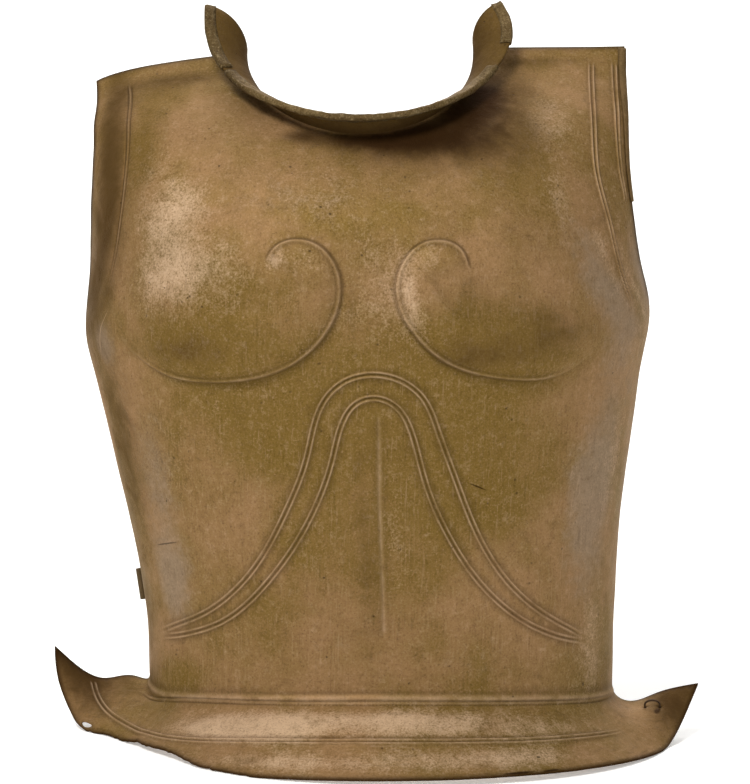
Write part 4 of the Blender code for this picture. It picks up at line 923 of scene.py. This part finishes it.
def bronzeSkin(name, tones, masked=True):  # masked when the mesh carries the patina's masks
    material = bpy.data.materials.new(name)
    material.use_nodes = True
    tree = material.node_tree
    shader = tree.nodes["Principled BSDF"]
    place = addNode(tree, "ShaderNodeTexCoord").outputs["Object"]
    noise = {pattern: noiseAt(tree, place, *sizes) for pattern, sizes in patterns.items()}
    large, middle, small, grain, upright, level = noise.values()
    masks = {}
    for mask in ("wearAndHighlight", "olive", "grey", "umberAndShade", "dark", "edge", "low", "worn", "dirtAndShade"):
        if masked:
            masks[mask] = addNode(tree, "ShaderNodeAttribute", attribute_name=mask).outputs["Fac"]
    wobble = 0.0  # breaks up the borders of every patch
    for pattern, share in breakUp:
        part = calc(tree, "MULTIPLY", calc(tree, "SUBTRACT", noise[pattern], 0.5), share)
        wobble = calc(tree, "ADD", wobble, part)
    colour = mixColour(tree, spread(tree, large, *layers["olive"]), tones["brown"], tones["olive"])
    if masked:
        colour = layPatches(tree, colour, masks, wobble, tones, patches)
        # rubbed bright metal with painted highlights laid over the colour
        speckle = calc(tree, "SUBTRACT", grain, 0.5)
        amount = calc(tree, "ADD", calc(tree, "MULTIPLY", wobble, layers["wearAndHighlightWobble"]), speckle)
        amount = spread(tree, calc(tree, "ADD", masks["wearAndHighlight"], amount), *layers["wearAndHighlight"])
        colour = mixColour(tree, amount, colour, tones["wearAndHighlight"])
    for pattern, low, high, share, tone, added in flecks:
        share *= tones["contrast"] if added else 1
        colour = mixColour(tree, spread(tree, noise[pattern], low, high, 0, share), colour, tones[tone])
    low = masks["low"] if masked else 0.0
    brushed = addNode(tree, "ShaderNodeMix", {0: low, 2: upright, 3: level}, data_type="FLOAT").outputs[0]
    streaks = calc(tree, "MULTIPLY", spread(tree, middle, *layers["streaks"]), tones["streak"])
    for low, high, share, tone in brushing:
        amount = calc(tree, "MULTIPLY", spread(tree, brushed, low, high), streaks)
        colour = mixColour(tree, calc(tree, "MULTIPLY", amount, share), colour, tones[tone])
    colour = mixColour(tree, spread(tree, level, *layers["level"]), colour, tones["pit"])
    if masked:
        # stain patches with painted shade under the collar and below the domes
        colour = layPatches(tree, colour, masks, wobble, tones, stainsAndShade)
        # grime with painted shade beside the raised lines, then rubbed crests with painted highlight
        colour = mixColour(tree, calc(tree, "MULTIPLY", masks["dirtAndShade"], layers["dirtAndShade"]), colour, tones["dark"])
        worn = calc(tree, "MULTIPLY", masks["worn"], spread(tree, middle, *layers["worn"]))
        colour = mixColour(tree, worn, colour, tones["wearAndHighlight"])
        # painted shade: the darker edge line
        amount = calc(tree, "MULTIPLY", masks["edge"], layers["edge"])
        colour = mixColour(tree, amount, colour, tones["dark"])
        flat = addNode(tree, "ShaderNodeAttribute", attribute_name="flatPlace").outputs["Vector"]
        for across, up, long, wide, turn, tone, strength in marks:
            spot = addNode(tree, "ShaderNodeMapping", {
                "Vector": flat, "Location": (across * widest, up * tallest, 0), "Scale": (long, wide, 1),
                "Rotation": (0, 0, math.radians(turn))}, vector_type="TEXTURE").outputs[0]
            reach = vectorCalc(tree, "LENGTH", spot).outputs["Value"]
            ragged = calc(tree, "MULTIPLY", calc(tree, "SUBTRACT", small, 0.5), layers["markWobble"])
            amount = spread(tree, calc(tree, "ADD", reach, ragged), *layers["mark"], strength)
            colour = mixColour(tree, amount, colour, tones[tone])
    cells = addNode(tree, "ShaderNodeTexVoronoi", {
        "Vector": place, "Scale": layers["pitScale"]}, feature="F1").outputs["Distance"]
    pits = spread(tree, cells, *layers["pitSize"])
    pits = calc(tree, "MULTIPLY", pits, spread(tree, middle, *layers["pitPlace"]))
    colour = mixColour(tree, calc(tree, "MULTIPLY", pits, layers["pit"]), colour, tones["pit"])
    tree.links.new(colour, shader.inputs["Base Color"])
    if masked:  # rubbed metal and painted highlight get more gloss; grime, olive and painted shade less; the painted edge shade neither gloss nor metal
        bright = calc(tree, "MULTIPLY", masks["grey"], layers["greyGloss"])
        bright = calc(tree, "MAXIMUM", masks["wearAndHighlight"], bright)
        dull = calc(tree, "MAXIMUM", masks["umberAndShade"], calc(tree, "MAXIMUM", masks["dark"], masks["olive"]))
        gloss = calc(tree, "MULTIPLY_ADD", bright, tones["gloss"], tones["gloss"])
        gloss = calc(tree, "MULTIPLY", gloss, calc(tree, "MULTIPLY_ADD", dull, layers["dullGloss"], 1.0))
        outsideEdgeShade = calc(tree, "SUBTRACT", 1.0, masks["edge"])
        tree.links.new(calc(tree, "MULTIPLY", gloss, outsideEdgeShade), shader.inputs["Specular IOR Level"])
        tree.links.new(calc(tree, "MULTIPLY", outsideEdgeShade, tones["metallic"]), shader.inputs["Metallic"])
    else:
        shader.inputs["Specular IOR Level"].default_value = tones["gloss"]
        shader.inputs["Metallic"].default_value = tones["metallic"]
    shader.inputs["Specular Tint"].default_value = (*tones["sheen"], 1)
    low, high = tones["roughness"]
    rough = calc(tree, "MULTIPLY", small, layers["roughWobble"])
    rough = calc(tree, "ADD", spread(tree, middle, *layers["rough"], low, high), rough)
    tree.links.new(rough, shader.inputs["Roughness"])
    height = 0.0
    for part, share in ((small, 0.60), (grain, 0.22), (brushed, 0.12), (pits, -0.8)):
        height = calc(tree, "ADD", height, calc(tree, "MULTIPLY", part, share))
    bump = addNode(tree, "ShaderNodeBump", {
        "Height": height, "Strength": layers["bump"], "Distance": tones["bump"]})
    tree.links.new(bump.outputs[0], shader.inputs["Normal"])
    return material


hammeredBronze = bronzeSkin("hammeredBronze", bronze)
collarBronze = bronzeSkin("granularCollarBronze", {
    **bronze, "brown": (0.120, 0.080, 0.032), "olive": (0.060, 0.038, 0.013), "wearAndHighlight": (0.42, 0.33, 0.19),
    "roughness": (0.38, 0.62), "bump": 0.0018, "contrast": 2.1}, masked=False)
edgeBronze = bronzeSkin("darkEdgeBronze", {
    **bronze, "brown": (0.15, 0.092, 0.040), "olive": (0.09, 0.058, 0.022), "wearAndHighlight": (0.30, 0.20, 0.11),
    "roughness": (0.40, 0.62)}, masked=False)
darkBronze = bronzeSkin("darkHingeBronze", {
    **bronze, "brown": (0.10, 0.066, 0.034), "olive": (0.06, 0.042, 0.020), "wearAndHighlight": (0.22, 0.15, 0.09),
    "roughness": (0.45, 0.65)}, masked=False)
stapleIron = bronzeSkin("corrodedIron", {
    **bronze, "brown": (0.050, 0.032, 0.022), "olive": (0.030, 0.020, 0.014), "wearAndHighlight": (0.14, 0.09, 0.06),
    "dark": (0.012, 0.008, 0.006), "metallic": 0.4, "roughness": (0.55, 0.80)}, masked=False)
print("materials made")


# The hammered sheet with its collar
hammering = {"Dent size": 0.030, "Dent depth": 0.0009, "Seed": 4.0}
dented = {"sheet": 1.0, "neck": 0.3, "collar": 0.25, "strip": 0.0}  # share of the dents' depth
# Patina of the collar's wall, with painted shade at its foot: strength at its foot, strength at its lip,
# power of the change
collarTones = {
    "wearAndHighlight": (0.0, 0.15, 1), "olive": (0.8, 0.8, 1), "umberAndShade": (0.95, 0.60, 1), "dark": (0.60, 0.0, 1.5)}


def plateMasks(flat, points):
    masks = patinaMasks(flat)
    border, firstNeck, neckCount = outline()
    cut = np.roll(border, -firstNeck - neckCount, axis=0)[:-neckCount]  # the outline without the neck
    cutLine = np.exp(-(distanceTo(flat, cut, edging["reach"]) / edging["width"]) ** 2)
    # painted shade along the cut edges and where the sheet turns away at the arm edges
    masks["edge"] = np.maximum(cutLine, sideShade(flat, points))
    masks["low"] = smoothStep((edging["flareTop"] - flat[:, 1] / tallest) / edging["flareBlend"])
    masks["worn"], masks["dirtAndShade"] = wornMasks(points)
    return masks


def raisedSheet(item):  # the raised lines and dents, then the sheet's thickness
    paths = {kind: lineObject(kind) for kind in fineness["rows"]}
    work = item.modifiers.new("raised work", "NODES")
    work.node_group = raisedTree()
    setInput(work, "Finish", hammeredBronze)
    for label, value in hammering.items():
        setInput(work, label, value)
    for kind, path in paths.items():
        setInput(work, kind + " lines", path)
        for part, value in raised[kind].items():
            setInput(work, kind + " " + part, value)
    wallMod = item.modifiers.new("sheet thickness", "SOLIDIFY")
    wallMod.thickness = plate["sheet"]
    wallMod.offset = -1
    made = bakedMesh(item, "hammeredSheet")
    for path in (item, *paths.values()):
        bpy.data.objects.remove(path)
    return made


def makePlate():
    flat, triangles, neck, armRows = sheetMesh()
    print("sheet cut:", len(flat), "points")
    points = smoothSheet(flat[:, 0], flat[:, 1])
    dome, masks = pectoralRise(points), plateMasks(flat, points)
    rings = collarRings(points[neck], neckTurns())
    index, faces = [neck], triangles.tolist()
    wallCount = len(rings[0])
    for ring in rings[1:]:
        index.append(np.arange(wallCount) + len(points))
        points = np.concatenate([points, ring])
    for low, high in zip(index, index[1:]):
        faces += np.stack([low[:-1], low[1:], high[1:], high[:-1]], axis=1).tolist()
    extra = len(points) - len(flat)
    mesh = bpy.data.meshes.new("plate")
    mesh.from_pydata(points.tolist(), [], faces)
    addMask(mesh, "dome", np.concatenate([dome, np.zeros(extra)]))
    opened = np.full(len(points), dented["sheet"])
    opened[neck] = dented["neck"]
    opened[len(flat):] = dented["collar"]
    opened[np.concatenate(armRows)] = dented["strip"]
    addMask(mesh, "open", opened)
    level = np.repeat(np.arange(1, len(rings)) / (len(rings) - 1), wallCount)
    wall = {name: lip + (foot - lip) * (1 - level) ** power
            for name, (foot, lip, power) in collarTones.items()}
    for name, values in masks.items():
        addMask(mesh, name, np.concatenate([values, wall.get(name, 0 * level)]))
    flatPlaces = np.zeros((len(points), 3), np.float32)
    flatPlaces[:, 2] = 1.0  # the collar lies off the flat sheet, so no mark falls on it
    flatPlaces[:len(flat)] = np.column_stack([flat, np.zeros(len(flat))])
    addVectors(mesh, "flatPlace", flatPlaces)
    mesh.shade_smooth()
    count = len(mesh.vertices)
    made = raisedSheet(linked("plate", mesh))
    places = np.empty(3 * len(made.vertices))
    made.vertices.foreach_get("co", places)
    places = places.reshape(-1, 3)
    sides = places[:count].copy(), places[count:].copy()
    finishPiece("hammeredSheet", made, "hammered_bronze", "breastplate")
    return sides, index, armRows


# Strips folded over the edges
folds = {"outer": 6, "inner": 4, "smoothing": (0.25, 0.5, 0.25), "lowest": -0.5, "highest": 0.6}


def foldedStrip(name, sides, rowsInward, sheet, material, slot, node, bite, seed):
    outer, inner = sides
    edge, foot = rowsInward[0], rowsInward[-1]
    inward = outer[foot] - outer[edge]
    inward /= np.linalg.norm(inward, axis=1)[:, None]
    normal = normalOf(outer, inner, edge)
    gap, far = plate["gap"], plate["gap"] + sheet
    middle = 0.5 * (outer[edge] + inner[edge])
    half = 0.5 * np.linalg.norm(outer[edge] - inner[edge], axis=1)[:, None]
    legRows = rowsInward[1:]

    def leg(face, off, legRows):
        return [face[row] + normalOf(outer, inner, row) * off - inward * gap * (row is foot)
                for row in legRows]

    def bend(off, way, parts):
        angles = [math.pi * way * (0.5 - step / parts) for step in range(parts + 1)]
        return [middle + normal * (half + off) * math.sin(angle) - inward * off * math.cos(angle)
                for angle in angles]

    section = np.array(
        leg(outer, far, legRows[::-1]) + bend(far, 1, folds["outer"]) + leg(inner, -far, legRows)
        + leg(inner, -gap, legRows[::-1]) + bend(gap, -1, folds["inner"]) + leg(outer, gap, legRows))
    count, length = len(section), len(edge)
    skin = len(legRows) * 2 + folds["outer"] + 1  # corners of the outer skin, which is granular and eaten
    rough = np.random.default_rng(seed).normal(0, bite, (skin, length))
    rough = np.array([np.convolve(row, folds["smoothing"], "same") for row in rough])
    rough = np.clip(rough, folds["lowest"] * sheet, folds["highest"] * sheet)
    section[:skin] += rough[..., None] * normalField(section[:skin])
    points = section.transpose(1, 0, 2).reshape(-1, 3)
    faces = []
    for i in range(length - 1):
        for k in range(count):
            a, b = i * count + k, i * count + (k + 1) % count
            faces.append((a, a + count, b + count, b))
    faces.append(tuple(range(count)))
    faces.append(tuple(reversed(range((length - 1) * count, length * count))))
    mesh = bpy.data.meshes.new(name)
    mesh.from_pydata(points.tolist(), [], faces)
    mesh.materials.append(material)
    mesh.shade_smooth()
    return finishPiece(name, mesh, slot, node)


def normalOf(outer, inner, row):
    normal = outer[row] - inner[row]
    return normal / np.linalg.norm(normal, axis=1)[:, None]


def normalField(section):
    tangent = np.gradient(section, axis=0)
    along = np.gradient(section, axis=1)
    normal = np.cross(along, tangent)
    return normal / np.maximum(np.linalg.norm(normal, axis=2), 1e-9)[..., None]


sides, index, armRows = makePlate()
degrees = np.degrees(neckTurns())
for number, (name, node, start, end) in enumerate(collar["strips"]):
    span = (degrees > start - 0.01) & (degrees < end + 0.01)
    rowsInward = [ring[span] for ring in reversed(index[-1 - fineness["stripLevels"]:])]
    foldedStrip(name, sides, rowsInward, collar["stripSheet"], collarBronze, "worn_bronze_edge",
                node, bite=collar["bite"], seed=number + 1)
foldedStrip("armEdgeStrip", sides, [armRows[0], armRows[1]], armStrip["sheet"], edgeBronze,
            "dark_bronze_edge", "arm_edge_strip", bite=armStrip["bite"], seed=armStrip["seed"])
for node, finish in (("hinge_knuckle", darkBronze), ("wire_staple", stapleIron)):
    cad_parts[node].data.materials.clear()
    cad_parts[node].data.materials.append(finish)
print("all pieces made")
